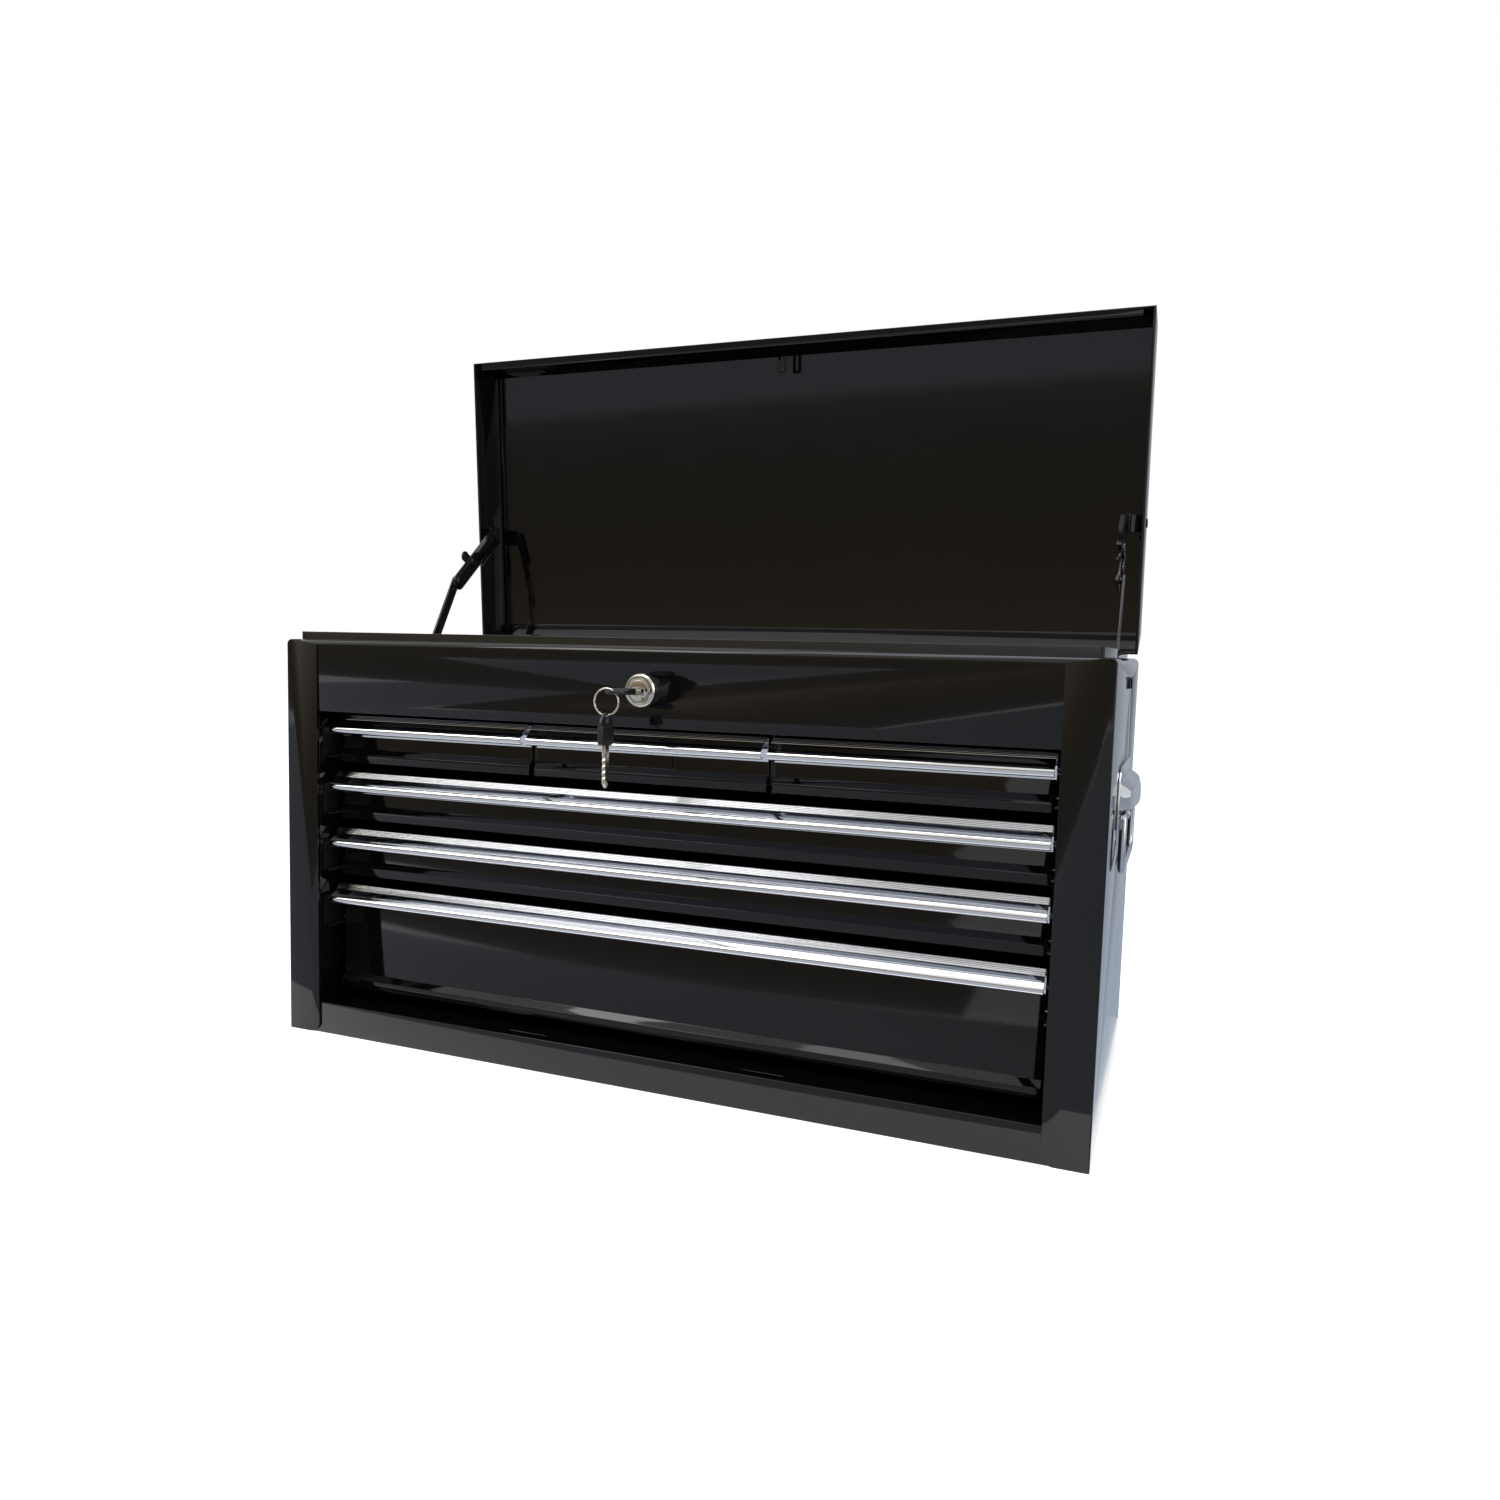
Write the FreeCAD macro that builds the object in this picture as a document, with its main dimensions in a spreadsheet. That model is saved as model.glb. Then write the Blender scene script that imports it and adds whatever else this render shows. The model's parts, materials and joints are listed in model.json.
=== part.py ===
import FreeCAD, Part
import math
import os
import types
import Sketcher
from FreeCAD import Placement, Rotation, Vector

# A portable steel tool chest: folded sheet case with six drawers on ball slides, a till under a
# hinged lid held by two folding stays, bail handles at the sides and a cam lock with its two keys.
# Millimetres. X to the right, Y to the back, Z up. The origin is the middle of the case's bottom face.

# Driving dimensions, one sheet cell each.
SIZES = {
    # Case
    "case_width": 600.0,
    "case_depth": 258.0,
    "ledge_height": 304.0,
    "lip_rise": 6.0,
    "lip_inset": 8.0,
    "shoulder_radius": 4.0,
    "sheet": 1.0,
    "front_flange": 28.5,
    "flange_slope": 3.5,
    "flange_corner": 8.0,
    "flange_bend": 0.9,
    "rear_flange": 12.0,
    "bottom_flange": 12.0,
    "side_slot_width": 2.5,
    "side_slot_height": 7.0,
    "side_slot_place": 18.0,
    "header_drop": 54.0,
    "header_return": 12.0,
    "rail_height": 23.8,
    "rail_depth": 30.0,
    "rail_slot_length": 31.0,
    "rail_slot_width": 3.0,
    "rail_slot_place": 89.5,
    "rail_slot_setback": 6.5,
    "till_edge": 11.0,
    # Slides and their posts
    "slide_height": 24.0,
    "slide_reach": 10.0,
    "slide_gauge": 1.2,
    "rail_lip": 7.0,
    "rail_length": 220.0,
    "rail_setback": 11.0,
    "divider_setback": 28.0,
    "runner_height": 16.0,
    "runner_lip": 4.6,
    "runner_length": 200.0,
    "cage_gauge": 0.8,
    "cage_strip": 2.2,
    "cage_web_reach": 7.4,
    "cage_strip_start": 3.0,
    "cage_length": 49.0,
    "cage_setback": 103.0,
    "post_width": 30.0,
    "post_gauge": 1.2,
    "front_post_setback": 7.0,
    "rear_post_setback": 191.0,
    "divider_gauge": 1.2,
    "divider_drop": 43.0,
    "divider_flange": 10.0,
    "divider_length": 222.0,
    # Drawers
    "front_side_gap": 4.0,
    "front_gap": 4.5,
    "left_divider": -96.0,
    "right_divider": 85.5,
    "tray_side_gap": 6.0,
    "top_row_drop": 40.0,
    "row_pitch": 44.0,
    "shallow_height": 37.0,
    "deep_bottom": 32.5,
    "front_setback": 26.0,
    "ledge_proud": 4.5,
    "ledge_top": 10.5,
    "ledge_bottom": 6.5,
    "front_return": 5.5,
    "tray_length": 210.0,
    "tray_lift": 2.0,
    "tray_top_gap": 8.0,
    "tray_hem": 4.0,
    "slide_drop": 21.0,
    # Pulls
    "pull_reach": 17.5,
    "pull_gauge": 1.5,
    "nose_drop": 11.3,
    "nose_radius": 3.2,
    "pull_slope": 40.0,
    "pull_web": 17.0,
    "pull_web_gauge": 1.2,
    "pull_curl": 1.8,
    "groove_pitch": 1.4,
    "groove_width": 0.7,
    "groove_depth": 0.35,
    "groove_margin": 0.8,
    # Lid
    "lid_inset": 1.4,
    "lid_gap": 0.5,
    "lid_height": 40.0,
    "lid_front_flare": 7.5,
    "lid_rear_flare": 14.0,
    "lid_bend": 2.5,
    "lid_return": 6.5,
    "lid_return_stop": 9.0,
    "lid_hem": 11.0,
    "lid_open_angle": 86.0,
    "hinge_setback": 4.5,
    "hinge_drop": 1.5,
    # Hinge
    "knuckle_radius": 3.0,
    "pin_radius": 1.5,
    "pin_clearance": 0.08,
    "knuckle_count": 7.0,
    "knuckle_gap": 0.4,
    "hinge_side_gap": 2.0,
    "leaf_gauge": 1.2,
    "leaf_height": 22.0,
    "leaf_start": 3.6,
    # Stays: places in the YZ plane with the lid open, heights from the ledge
    "stay_pivot_y": 32.5,
    "stay_pivot_drop": 17.0,
    "stay_knee_y": 76.0,
    "stay_knee_rise": 56.0,
    "stay_rivet_y": 135.0,
    "stay_rivet_rise": 104.0,
    "stay_gauge": 1.5,
    "stay_gap": 0.3,
    "lower_width": 10.0,
    "upper_width": 15.0,
    "upper_flange_start": 36.0,
    "upper_flange_depth": 4.0,
    "rivet_radius": 2.5,
    "rivet_clearance": 0.08,
    "rivet_head": 4.2,
    "rivet_head_thickness": 1.2,
    "stud_face_gap": 0.2,
    "latch_place": 29.0,
    "latch_rise": 0.5,
    "latch_tab_lean": 4.6,
    "latch_tab_top": 15.6,
    "latch_tab_width": 10.0,
    "latch_arm": 16.0,
    "latch_arm_width": 8.0,
    "bracket_half_width": 6.75,
    "bracket_rise": 10.5,
    "bracket_foot": 12.0,
    "bracket_drop": 4.5,
    "bracket_rivet_head": 3.5,
    # Striker
    "striker_drop": 21.0,
    "striker_gauge": 2.2,
    "striker_gap": 2.7,
    "striker_reach": 25.5,
    # Lock
    "lock_drop": 29.0,
    "bezel_radius": 11.25,
    "bezel_thickness": 3.0,
    "bezel_bevel": 1.2,
    "housing_radius": 9.4,
    "housing_length": 13.0,
    "plug_radius": 7.0,
    "plug_clearance": 0.08,
    "plug_proud": 0.6,
    "keyway_width": 2.8,
    "keyway_length": 7.4,
    "keyway_depth": 12.0,
    "nut_flats": 24.0,
    "nut_thickness": 3.5,
    "thread_clearance": 0.2,
    "cam_gauge": 2.0,
    "cam_gap": 1.0,
    "cam_hub": 7.5,
    "cam_arm_near": 4.2,
    "cam_arm_width": 6.8,
    "cam_nose_under": 50.2,
    "cam_nose_thickness": 4.8,
    "cam_nose_over": 3.0,
    "cam_screw_radius": 4.0,
    "cam_screw_thickness": 2.0,
    # Keys
    "key_head_length": 21.0,
    "key_head_width": 16.0,
    "key_head_thickness": 4.0,
    "key_eye_thickness": 2.0,
    "key_eye_zone": 8.5,
    "key_eye_place": 4.0,
    "key_eye_radius": 3.0,
    "key_corner": 3.0,
    "blade_length": 27.5,
    "blade_width": 6.0,
    "blade_thickness": 2.2,
    "blade_seen": 17.9,
    "blade_notch": 1.3,
    "blade_notch_pitch": 4.0,
    "blade_tang": 4.0,
    "ring_wire": 0.65,
    "ring_side": 5.6,
    "ring_drop": 6.6,
    # Handles
    "handle_drop": 99.0,
    "handle_half_length": 60.0,
    "handle_shoulder": 46.0,
    "handle_plate_rise": 30.0,
    "handle_plate_shoulder": 21.0,
    "handle_plate_drop": 9.0,
    "handle_gauge": 1.5,
    "hood_half_length": 57.0,
    "hood_mouth_rise": 4.0,
    "hood_lip": 2.0,
    "hood_rise": 20.0,
    "hood_reach": 9.8,
    "hood_end_reach": 6.1,
    "hood_gauge": 1.2,
    "saddle_gauge": 1.2,
    "saddle_length": 9.0,
    "bail_radius": 2.3,
    "bail_clearance": 0.1,
    "bail_plate_gap": 0.3,
    "bail_half_length": 54.0,
    "bail_stub": 12.0,
    "bail_drop": 36.2,
    "bail_bend": 9.0,
    "bail_pivot_bend": 3.0,
    "cut_over": 5.0,
}

DRAWER_ROWS_BELOW = 2
PULL_GROOVES = 4
BLADE_NOTCHES = 4
BEND_CHORDS = 3
WIRE_SIDES = 6


class Measure:
    """A size with its value and the sheet formula that gives it."""

    def __init__(self, value, formula):
        self.value = float(value)
        self.formula = formula

    def __add__(self, other):
        other = measure(other)
        return Measure(self.value + other.value, "(%s + %s)" % (self.formula, other.formula))

    def __radd__(self, other):
        return measure(other) + self

    def __sub__(self, other):
        other = measure(other)
        return Measure(self.value - other.value, "(%s - %s)" % (self.formula, other.formula))

    def __rsub__(self, other):
        return measure(other) - self

    def __mul__(self, other):
        other = measure(other)
        return Measure(self.value * other.value, "(%s * %s)" % (self.formula, other.formula))

    def __rmul__(self, other):
        return measure(other) * self

    def __truediv__(self, other):
        other = measure(other)
        return Measure(self.value / other.value, "(%s / %s)" % (self.formula, other.formula))

    def __neg__(self):
        return Measure(-self.value, "(0 - %s)" % self.formula)


def measure(thing):
    """A plain number or a measure, as a measure."""
    if isinstance(thing, Measure):
        return thing
    return Measure(thing, repr(float(thing)))


def sine(angle):
    return Measure(math.sin(math.radians(angle.value)), "sin(%s)" % angle.formula)


def cosine(angle):
    return Measure(math.cos(math.radians(angle.value)), "cos(%s)" % angle.formula)


def tangent(angle):
    return sine(angle) / cosine(angle)


def root(thing):
    return Measure(math.sqrt(thing.value), "sqrt(%s)" % thing.formula)


def length_of(across, up):
    return root(across * across + up * up)


def make_document():
    """The document and its sheet; returns the document and the sheet's sizes."""
    document = FreeCAD.newDocument("tool_chest")
    sheet = document.addObject("Spreadsheet::Sheet", "sizes")
    values = {}
    for row, (alias, number) in enumerate(SIZES.items(), start=1):
        sheet.set("A%d" % row, alias)
        sheet.set("B%d" % row, str(number))
        sheet.setAlias("B%d" % row, alias)
    document.recompute()
    for alias in SIZES:
        values[alias] = Measure(sheet.get(alias), "sizes." + alias)
    return document, types.SimpleNamespace(**values)


doc, size = make_document()
PARTS = []


def bind(feature, name, thing):
    """Tie a property of a feature to the sheet."""
    thing = measure(thing)
    setattr(feature, name, thing.value)
    feature.setExpression(name, thing.formula)


def put(feature, x=0, y=0, z=0, rotation=None):
    """Place a feature, with its three coordinates tied to the sheet."""
    spot = [measure(x), measure(y), measure(z)]
    base = Vector(*[each.value for each in spot])
    feature.Placement = Placement(base, rotation or Rotation())
    for axis, each in zip("xyz", spot):
        feature.setExpression("Placement.Base." + axis, each.formula)
    return feature


def named(feature, label, keep=True):
    """Give a feature its node's name and list it for writing."""
    feature.Label = label
    if keep:
        PARTS.append(feature)
    return feature


def new_body(name):
    return doc.addObject("PartDesign::Body", name)


def origin_plane(body, role):
    return [each for each in body.Origin.OriginFeatures if each.Role == role][0]


def new_sketch(body, role, offset):
    sketch = body.newObject("Sketcher::SketchObject", "Outline")
    sketch.AttachmentSupport = [(origin_plane(body, role), "")]
    sketch.MapMode = "FlatFace"
    offset = measure(offset)
    sketch.AttachmentOffset = Placement(Vector(0, 0, offset.value), Rotation())
    sketch.setExpression("AttachmentOffset.Base.z", offset.formula)
    return sketch


def arc_between(start, end, radius, turn):
    """The arc from start to end: turn is 1 for anticlockwise and -1 for clockwise."""
    chord = end - start
    rise = math.sqrt(max(radius ** 2 - (chord.Length / 2) ** 2, 0))
    aside = Vector(-chord.y, chord.x, 0).normalize() * (rise * turn)
    centre = (start + end) * 0.5 + aside
    first, last = (start, end) if turn > 0 else (end, start)
    low = math.atan2(first.y - centre.y, first.x - centre.x)
    high = math.atan2(last.y - centre.y, last.x - centre.x)
    while high <= low:
        high += 2 * math.pi
    return Part.ArcOfCircle(Part.Circle(centre, Vector(0, 0, 1), radius), low, high)


def draw_outline(sketch, corners):
    """A closed outline whose corners are tied to the sheet.

    A corner is (across, up) or (across, up, radius, turn) where an arc leaves it.
    """
    spots = [(measure(corner[0]), measure(corner[1])) for corner in corners]
    ends = []
    first = sketch.GeometryCount
    for index, corner in enumerate(corners):
        here = spots[index]
        there = spots[(index + 1) % len(corners)]
        start = Vector(here[0].value, here[1].value, 0)
        end = Vector(there[0].value, there[1].value, 0)
        if len(corner) > 2:
            radius = measure(corner[2])
            edge = sketch.addGeometry(arc_between(start, end, radius.value, corner[3]), False)
            ends.append((1, 2) if corner[3] > 0 else (2, 1))
            tie = sketch.addConstraint(Sketcher.Constraint("Radius", edge, radius.value))
            sketch.setExpression("Constraints[%d]" % tie, radius.formula)
        else:
            sketch.addGeometry(Part.LineSegment(start, end), False)
            ends.append((1, 2))
    for index in range(len(corners)):
        after = (index + 1) % len(corners)
        join = Sketcher.Constraint("Coincident", first + index, ends[index][1], first + after, ends[after][0])
        sketch.addConstraint(join)
    for index, spot in enumerate(spots):
        for kind, each in zip(("DistanceX", "DistanceY"), spot):
            limit = Sketcher.Constraint(kind, -1, 1, first + index, ends[index][0], each.value)
            tie = sketch.addConstraint(limit)
            sketch.setExpression("Constraints[%d]" % tie, each.formula)


def draw_circle(sketch, centre, radius):
    """A circle tied to the sheet by its centre and radius."""
    across, up, radius = measure(centre[0]), measure(centre[1]), measure(radius)
    circle = Part.Circle(Vector(across.value, up.value, 0), Vector(0, 0, 1), radius.value)
    edge = sketch.addGeometry(circle, False)
    for kind, each in zip(("DistanceX", "DistanceY"), (across, up)):
        tie = sketch.addConstraint(Sketcher.Constraint(kind, -1, 1, edge, 3, each.value))
        sketch.setExpression("Constraints[%d]" % tie, each.formula)
    tie = sketch.addConstraint(Sketcher.Constraint("Radius", edge, radius.value))
    sketch.setExpression("Constraints[%d]" % tie, radius.formula)


def fill_sketch(sketch, shapes):
    """Draw outlines (lists of corners) and circles (centre, radius) in one sketch."""
    for shape in shapes:
        if isinstance(shape, tuple):
            draw_circle(sketch, shape[0], shape[1])
        else:
            draw_outline(sketch, shape)


def add(body, role, shapes, low, high):
    """Pad outlines from low to high along the axis that is square to the plane."""
    low, high = measure(low), measure(high)
    sketch = new_sketch(body, role, -high if role == "XZ_Plane" else low)
    fill_sketch(sketch, shapes)
    pad = body.newObject("PartDesign::Pad", "Pad")
    pad.Profile = sketch
    bind(pad, "Length", high - low)
    doc.recompute()
    return pad


def cut(body, role, shapes, low, high):
    """Pocket outlines from high down to low along the axis that is square to the plane."""
    low, high = measure(low), measure(high)
    before = body.Shape.Volume
    sketch = new_sketch(body, role, -low if role == "XZ_Plane" else high)
    fill_sketch(sketch, shapes)
    pocket = body.newObject("PartDesign::Pocket", "Pocket")
    pocket.Profile = sketch
    bind(pocket, "Length", high - low)
    doc.recompute()
    if not body.Shape.Volume < before:
        raise RuntimeError("a pocket of %s cuts nothing" % body.Name)
    return pocket


def round_edges(body, radius, chosen):
    """Fillet the edges of the body's last feature that the test chooses."""
    last = body.Tip
    names = ["Edge%d" % (index + 1) for index, edge in enumerate(last.Shape.Edges) if chosen(edge)]
    if not names:
        raise RuntimeError("no edge of %s to round" % body.Name)
    fillet = body.newObject("PartDesign::Fillet", "Fillet")
    fillet.Base = (last, names)
    bind(fillet, "Radius", radius)
    doc.recompute()
    return fillet


def bevel_edges(body, width, chosen):
    """Chamfer the edges of the body's last feature that the test chooses."""
    last = body.Tip
    names = ["Edge%d" % (index + 1) for index, edge in enumerate(last.Shape.Edges) if chosen(edge)]
    if not names:
        raise RuntimeError("no edge of %s to bevel" % body.Name)
    bevel = body.newObject("PartDesign::Chamfer", "Chamfer")
    bevel.Base = (last, names)
    bind(bevel, "Size", width)
    doc.recompute()
    return bevel


def lies_at(edge, **places):
    """Whether all of an edge lies at the given coordinates."""
    box = edge.BoundBox
    for axis, place in places.items():
        low, high = {"x": (box.XMin, box.XMax), "y": (box.YMin, box.YMax), "z": (box.ZMin, box.ZMax)}[axis]
        if abs(low - measure(place).value) > 1e-4 or abs(high - measure(place).value) > 1e-4:
            return False
    return True


def block(left, right, bottom, top):
    """The corners of an upright rectangle."""
    return [(left, bottom), (right, bottom), (right, top), (left, top)]


def mirrored(source, label, keep=True):
    """The same piece on the other side of the middle plane."""
    twin = doc.addObject("Part::Mirroring", "Mirror")
    twin.Source = source
    twin.Normal = Vector(1, 0, 0)
    return named(twin, label, keep)


def joined(label, pieces):
    """Several solids of one kind as one node."""
    group = doc.addObject("Part::MultiFuse", "Group")
    group.Shapes = pieces
    group.Refine = False
    return named(group, label)


def cylinder(radius, length, x, y, z, axis):
    """A round bar from its end's centre along an axis."""
    bar = doc.addObject("Part::Cylinder", "Bar")
    bind(bar, "Radius", radius)
    bind(bar, "Height", length)
    return put(bar, x, y, z, Rotation(Vector(0, 0, 1), axis))


ACROSS = Vector(1, 0, 0)
BACKWARD = Vector(0, 1, 0)

# Places that several pieces share.
half_width = size.case_width / 2
front = -size.case_depth / 2
back = size.case_depth / 2
face = front + size.sheet
rear_face = back - size.sheet
inner_side = half_width - size.sheet
lip_inner = half_width - size.lip_inset - 2 * size.sheet
lip_top = size.ledge_height + size.lip_rise
wall_top = size.ledge_height - size.shoulder_radius
header_bottom = size.ledge_height - size.header_drop
till_bottom = header_bottom + size.sheet
lock_z = size.ledge_height - size.lock_drop
opening_half = half_width - size.front_flange
front_half = opening_half - size.front_side_gap
tray_half = opening_half - size.tray_side_gap
post_face = tray_half + size.slide_reach
drawer_face = front + size.front_setback
hinge_y = back + size.hinge_setback
hinge_z = size.ledge_height - size.hinge_drop
stay_pivot = (size.stay_pivot_y, size.ledge_height - size.stay_pivot_drop)
stay_knee = (size.stay_knee_y, size.ledge_height + size.stay_knee_rise)
stay_rivet = (size.stay_rivet_y, size.ledge_height + size.stay_rivet_rise)


def shoulder_profile(wall, inward, foot):
    """Points of a wall's top: shoulder bend, ledge and hemmed lip, for a wall at the place given.

    inward is 1 or -1, the way from the wall to the middle; foot lists what closes the outline.
    """
    bend = size.shoulder_radius
    lip = wall + inward * (size.lip_inset - (0 if wall is half_width else size.sheet))
    turn = -inward
    return [
        (wall, wall_top, bend, turn),
        (wall + inward * bend, size.ledge_height),
        (lip, size.ledge_height),
        (lip, lip_top),
        (lip + inward * 2 * size.sheet, lip_top),
        (lip + inward * 2 * size.sheet, size.ledge_height - size.sheet),
        (wall + inward * bend, size.ledge_height - size.sheet, bend - size.sheet, -turn),
        (wall + inward * size.sheet, wall_top),
    ] + foot


def side_panels():
    """Side walls with rolled shoulder, ledge and lip, and flanges at the front, back and bottom."""
    body = new_body("side_panel")
    foot = [(inner_side, 0), (half_width, 0)]
    add(body, "XZ_Plane", [shoulder_profile(half_width, -1, foot)], face, rear_face)
    under = block(half_width - size.bottom_flange, inner_side, size.sheet, 2 * size.sheet)
    add(body, "XZ_Plane", [under], face, rear_face - size.sheet)
    inner_end = half_width - size.front_flange
    flange = [
        (half_width, 0),
        (half_width, wall_top, size.shoulder_radius, 1),
        (half_width - size.shoulder_radius, size.ledge_height),
        (inner_end, size.ledge_height - size.flange_slope),
        (inner_end, size.flange_corner, size.flange_corner, 1),
        (inner_end + size.flange_corner, 0),
    ]
    add(body, "XZ_Plane", [flange], front, face)
    add(body, "XZ_Plane", [block(half_width - size.rear_flange, half_width, 0, wall_top)], rear_face, back)
    lip_ends = [
        block(front - size.cut_over, front + size.lip_inset, size.ledge_height, lip_top + size.cut_over),
        block(back - size.lip_inset, back + size.cut_over, size.ledge_height, lip_top + size.cut_over),
    ]
    cut(body, "YZ_Plane", lip_ends, lip_inner - size.cut_over, half_width)
    stud_hole = (stay_pivot, size.rivet_radius + size.rivet_clearance)
    slot_left = size.side_slot_place - size.side_slot_width / 2
    slot = block(
        slot_left,
        slot_left + size.side_slot_width,
        stay_pivot[1] - size.side_slot_height / 2,
        stay_pivot[1] + size.side_slot_height / 2,
    )
    cut(body, "YZ_Plane", [stud_hole, slot], inner_side - size.cut_over, half_width)
    round_edges(body, size.flange_bend, lambda edge: lies_at(edge, x=half_width, y=front))
    named(body, "side_panel_right")
    mirrored(body, "side_panel_left")


def back_panel():
    """Back wall inside the side walls' rear flanges, with the same shoulder, ledge and lip."""
    body = new_body("back_panel")
    foot = [(rear_face - size.sheet, 0), (rear_face, 0)]
    add(body, "YZ_Plane", [shoulder_profile(rear_face, -1, foot)], -lip_inner, lip_inner)
    add(body, "YZ_Plane", [block(rear_face - size.sheet, rear_face, 0, wall_top)], -inner_side, inner_side)
    named(body, "back_panel")


def header_panel():
    """Front wall over the drawers, with its return flange below and the lock's hole."""
    body = new_body("header_panel")
    foot = [
        (face + size.sheet, till_bottom),
        (face + size.header_return, till_bottom),
        (face + size.header_return, header_bottom),
        (face, header_bottom),
    ]
    add(body, "YZ_Plane", [shoulder_profile(face, 1, foot)], -lip_inner, lip_inner)
    plate = block(face, face + size.sheet, header_bottom, wall_top)
    add(body, "YZ_Plane", [plate], -inner_side, inner_side)
    hole = ((0, lock_z), size.housing_radius + size.thread_clearance)
    cut(body, "XZ_Plane", [hole], face - size.cut_over, face + size.cut_over)
    named(body, "header_panel")


def bottom_rail():
    """Folded rail under the drawers: front wall, top flange with two slots and rear leg."""
    body = new_body("bottom_rail")
    rear = face + size.rail_depth
    profile = [
        (face, 0),
        (face, size.rail_height),
        (rear, size.rail_height),
        (rear, size.sheet),
        (rear - size.sheet, size.sheet),
        (rear - size.sheet, size.rail_height - size.sheet),
        (face + size.sheet, size.rail_height - size.sheet),
        (face + size.sheet, 0),
    ]
    end = half_width - size.bottom_flange
    add(body, "YZ_Plane", [profile], -end, end)
    slots = []
    for side in (-1, 1):
        left = side * size.rail_slot_place - size.rail_slot_length / 2
        near = face + size.rail_slot_setback
        slots.append(block(left, left + size.rail_slot_length, near, near + size.rail_slot_width))
    cut(body, "XY_Plane", slots, size.rail_height - 2 * size.sheet, size.rail_height + size.cut_over)
    round_edges(body, size.sheet / 2, lambda edge: lies_at(edge, y=face, z=size.rail_height))
    named(body, "bottom_rail")


def base_panel():
    """Flat bottom sheet between the side walls."""
    body = new_body("base_panel")
    outline = block(-inner_side, inner_side, face + size.sheet, rear_face - size.sheet)
    add(body, "XY_Plane", [outline], 0, size.sheet)
    named(body, "base_panel")


def till_floor():
    """Floor of the open till, a shallow pan with its edges turned up."""
    body = new_body("till_floor")
    near = face + size.sheet
    far = rear_face - size.sheet
    add(body, "XY_Plane", [block(-inner_side, inner_side, near, far)], till_bottom, till_bottom + size.till_edge)
    room = block(
        -(inner_side - size.sheet), inner_side - size.sheet, near + size.sheet, far - size.sheet
    )
    cut(body, "XY_Plane", [room], till_bottom + size.sheet, till_bottom + size.till_edge)
    named(body, "till_floor")


def drawer_dividers():
    """Two walls that hang from the till floor between the small drawers."""
    pieces = []
    near = front + size.divider_setback
    for place in (size.left_divider, size.right_divider):
        body = new_body("divider")
        half = size.divider_gauge / 2
        profile = [
            (place - half, till_bottom - size.divider_drop),
            (place + half, till_bottom - size.divider_drop),
            (place + half, till_bottom),
            (place - half, till_bottom),
        ]
        add(body, "XZ_Plane", [profile], near, near + size.divider_length)
        tab = block(
            place - size.divider_flange, place + size.divider_flange, till_bottom - size.divider_gauge, till_bottom
        )
        add(body, "XZ_Plane", [tab], near, near + size.divider_length)
        pieces.append(body)
    joined("drawer_dividers", pieces)


def slide_post(near, bottom, top):
    """One upright channel between a side wall and the slides, open to the wall."""
    body = new_body("post")
    far = near + size.post_width
    gauge = size.post_gauge
    channel = [
        (post_face, near),
        (inner_side, near),
        (inner_side, near + gauge),
        (post_face + gauge, near + gauge),
        (post_face + gauge, far - gauge),
        (inner_side, far - gauge),
        (inner_side, far),
        (post_face, far),
    ]
    add(body, "XY_Plane", [channel], bottom, top)
    return body


def slide_posts():
    """Four uprights that carry the slides, front and rear on both sides."""
    front_post = slide_post(front + size.front_post_setback, size.rail_height, header_bottom)
    rear_post = slide_post(front + size.rear_post_setback, 2 * size.sheet, till_bottom)
    pieces = [front_post, rear_post]
    for post in (front_post, rear_post):
        pieces.append(mirrored(post, "post_mirror", keep=False))
    joined("slide_posts", pieces)


def channel_profile(wall, side, middle, near, far, half, gauge, lip):
    """A C channel: its web at far, its two lips reaching back to near, measured out from a wall."""
    web = far - gauge
    return [
        (wall + side * near, middle + half),
        (wall + side * far, middle + half),
        (wall + side * far, middle - half),
        (wall + side * near, middle - half),
        (wall + side * near, middle - half + lip),
        (wall + side * web, middle - half + lip),
        (wall + side * web, middle + half - lip),
        (wall + side * near, middle + half - lip),
    ]


def slide_rail(wall, side, middle, near):
    """Outer member of a ball slide: a channel with its mouth to the drawer."""
    body = new_body("slide_rail")
    lips = size.slide_reach - size.rail_lip
    gauge = size.slide_gauge
    profile = channel_profile(wall, side, middle, lips, size.slide_reach, size.slide_height / 2, gauge, gauge)
    add(body, "XZ_Plane", [profile], near, near + size.rail_length)
    return body


def drawer_list():
    """The six drawers: name, tray walls left and right, front edges left and right, bottom and height."""
    half_divider = size.divider_gauge / 2
    walls = [
        (-tray_half, size.left_divider - half_divider - size.slide_reach),
        (size.left_divider + half_divider + size.slide_reach, size.right_divider - half_divider - size.slide_reach),
        (size.right_divider + half_divider + size.slide_reach, tray_half),
    ]
    half_gap = size.front_gap / 2
    edges = [
        (-front_half, size.left_divider - half_gap),
        (size.left_divider + half_gap, size.right_divider - half_gap),
        (size.right_divider + half_gap, front_half),
    ]
    drawers = []
    top_row = header_bottom - size.top_row_drop
    for index in range(len(walls)):
        drawers.append(("drawer_%d" % (index + 1), walls[index], edges[index], top_row, size.shallow_height))
    for row in range(DRAWER_ROWS_BELOW):
        bottom = top_row - (row + 1) * size.row_pitch
        name = "drawer_%d" % (len(walls) + row + 1)
        drawers.append((name, (-tray_half, tray_half), (-front_half, front_half), bottom, size.shallow_height))
    name = "drawer_%d" % (len(walls) + DRAWER_ROWS_BELOW + 1)
    deep_top = top_row - (DRAWER_ROWS_BELOW + 1) * size.row_pitch + size.shallow_height
    deep_height = deep_top - size.deep_bottom
    drawers.append((name, (-tray_half, tray_half), (-front_half, front_half), size.deep_bottom, deep_height))
    return drawers


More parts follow.
